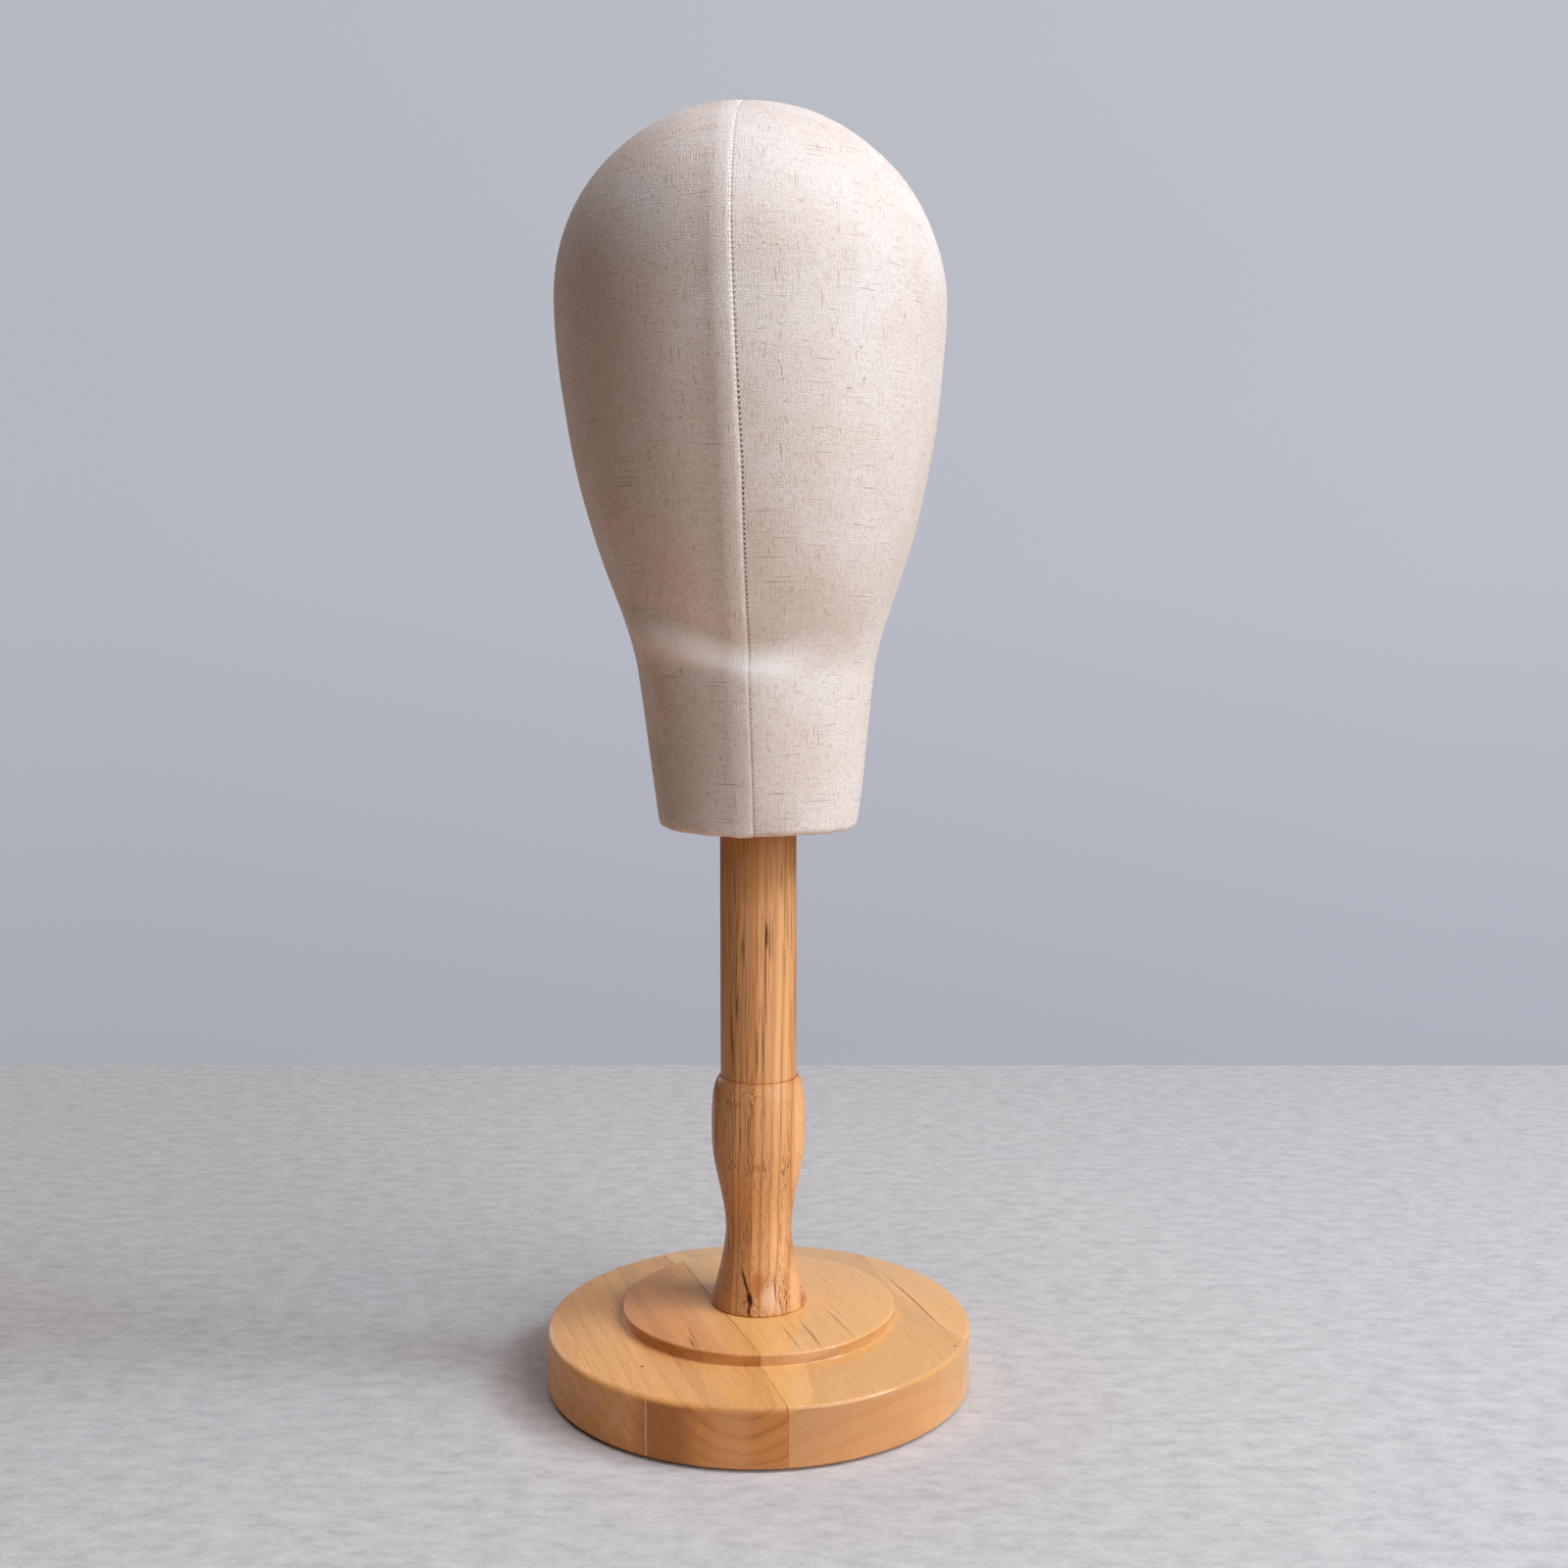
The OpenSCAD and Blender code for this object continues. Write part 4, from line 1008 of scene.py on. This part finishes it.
finishes = {
    "base_felt": felt_material(), "base_bolt": zinc_material(), "post_insert": brass_material(),
    "post_socket": socket_material(), "head_core": cork_material(), "neck_plate": plywood_material()}
for hardware in ("base_washer", "neck_screws"):
    finishes[hardware] = finishes["base_bolt"]
hem_staples(finishes["base_bolt"])
for node_name, finish in finishes.items():
    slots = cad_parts[node_name].data.materials
    slots.clear()
    slots.append(finish)

# Studio: a pale table, a grey wall, soft lamps and the camera

TABLE_BACK = 543 * MM
TABLE_REACH = 1500 * MM
LAMP_AIM = Vector((0, 0, 300 * MM))
CLIP_START = 10 * MM


class Lamp(NamedTuple):
    """A round soft lamp: degrees round the post from the view and above it, metres, watts."""
    name: str
    turn: float
    rise: float
    distance: float
    width: float
    power: float
    colour: str


LAMPS = (
    Lamp("key", 80, 38, 2.8, 0.8, 29, "#d8f3ff"),
    Lamp("high", 70, 55, 2.4, 1.6, 24, "#ffe3e3"),
    Lamp("soft", 45, 20, 2.6, 2.2, 49, "#f4faff"),
    Lamp("top", 0, 85, 2.4, 1.6, 17, "#f9f6f8"),
    Lamp("back", -140, 14, 2.4, 1.6, 11, "#f8f5f6"))


def table_top():
    """The table that the stand is on, with its far edge in view."""
    corners = [(-TABLE_REACH, -TABLE_REACH, 0), (TABLE_REACH, -TABLE_REACH, 0),
               (TABLE_REACH, TABLE_BACK, 0), (-TABLE_REACH, TABLE_BACK, 0)]
    mesh = bpy.data.meshes.new("table")
    mesh.from_pydata(corners, [], [(0, 1, 2, 3)])
    table = bpy.data.objects.new("table", mesh)
    bpy.context.collection.objects.link(table)
    table.rotation_euler.z = VIEW_TURN
    mesh.materials.append(floor_material())


def wall():
    """The grey wall, seen and mirrored behind the table, and a weak warm light from all round."""
    world = bpy.data.worlds.new("studio")
    bpy.context.scene.world = world
    world.use_nodes = True
    tree = world.node_tree
    tree.nodes.clear()
    toward = add(tree, "TexCoord", out="Generated")
    aside = add(tree, "SeparateXYZ", {0: toward}, out="X")
    back = add(tree, "SeparateXYZ", {0: toward}, out="Y")
    up = add(tree, "SeparateXYZ", {0: toward}, out="Z")
    behind = add(tree, "MapRange", {0: back, 1: 0.3, 2: 0.8, 3: 0, 4: 1})
    above = add(tree, "MapRange", {0: up, 1: 0, 2: 0.15, 3: 0, 4: 1})
    behind = add(tree, "Math", {0: behind, 1: above}, operation="MULTIPLY")
    mirrored = add(tree, "LightPath", out="Is Glossy Ray")
    mirrored = add(tree, "Math", {0: mirrored, 1: behind}, operation="MULTIPLY")
    seen = add(tree, "LightPath", out="Is Camera Ray")
    seen = add(tree, "Math", {0: seen, 1: mirrored}, operation="MAXIMUM")
    height = add(tree, "MapRange", {0: up, 1: -0.25, 2: 0.3, 3: 0, 4: 1})
    colour = add(tree, "ValToRGB", {0: height}, stops=[
        (0.04, "#adb0bb"), (0.2, "#b2b4c0"), (0.5, "#babcc7"), (1.0, "#bdbfc7")])
    lit = add(tree, "MapRange", {0: aside, 1: -0.4, 2: 0.3, 3: 0.93, 4: 1.02})
    colour = add(tree, "MixRGB", {0: 1, 1: colour, 2: lit}, blend_type="MULTIPLY")
    backdrop = add(tree, "Background", {"Color": colour, "Strength": 1.0})
    ambient = add(tree, "Background", {"Color": linear("#ff9060"), "Strength": 0.02})
    mixed = add(tree, "MixShader", {0: seen, 1: ambient, 2: backdrop})
    output = tree.nodes.new("ShaderNodeOutputWorld")
    tree.links.new(mixed, output.inputs["Surface"])


def lamps():
    """Round soft lamps that look at the middle of the stand."""
    for name, turn, rise, distance, width, power, colour in LAMPS:
        turn, rise = math.radians(turn) + VIEW_TURN, math.radians(rise)
        away = Vector((math.sin(turn) * math.cos(rise), -math.cos(turn) * math.cos(rise), math.sin(rise)))
        lamp = bpy.data.lights.new(name, "AREA")
        lamp.shape = "DISK"
        lamp.size = width
        lamp.energy = power
        lamp.color = linear(colour)[:3]
        holder = bpy.data.objects.new(name, lamp)
        bpy.context.collection.objects.link(holder)
        holder.location = LAMP_AIM + away * distance
        holder.rotation_euler = (-away).to_track_quat("-Z", "Y").to_euler()


def view():
    """The fitted camera."""
    camera = bpy.data.cameras.new("camera")
    camera.sensor_width = SENSOR_W
    camera.lens = LENS
    camera.clip_start = CLIP_START
    holder = bpy.data.objects.new("camera", camera)
    bpy.context.collection.objects.link(holder)
    ahead = Vector((-math.sin(VIEW_TURN), math.cos(VIEW_TURN), 0))
    right = Vector((math.cos(VIEW_TURN), math.sin(VIEW_TURN), 0))
    holder.location = right * VIEW_SIDE - ahead * VIEW_DISTANCE + Vector((0, 0, VIEW_HEIGHT))
    holder.rotation_euler = (math.pi / 2 - VIEW_PITCH, 0, VIEW_TURN)
    bpy.context.scene.camera = holder


bpy.context.scene.view_settings.view_transform = "Standard"
table_top()
wall()
lamps()
view()
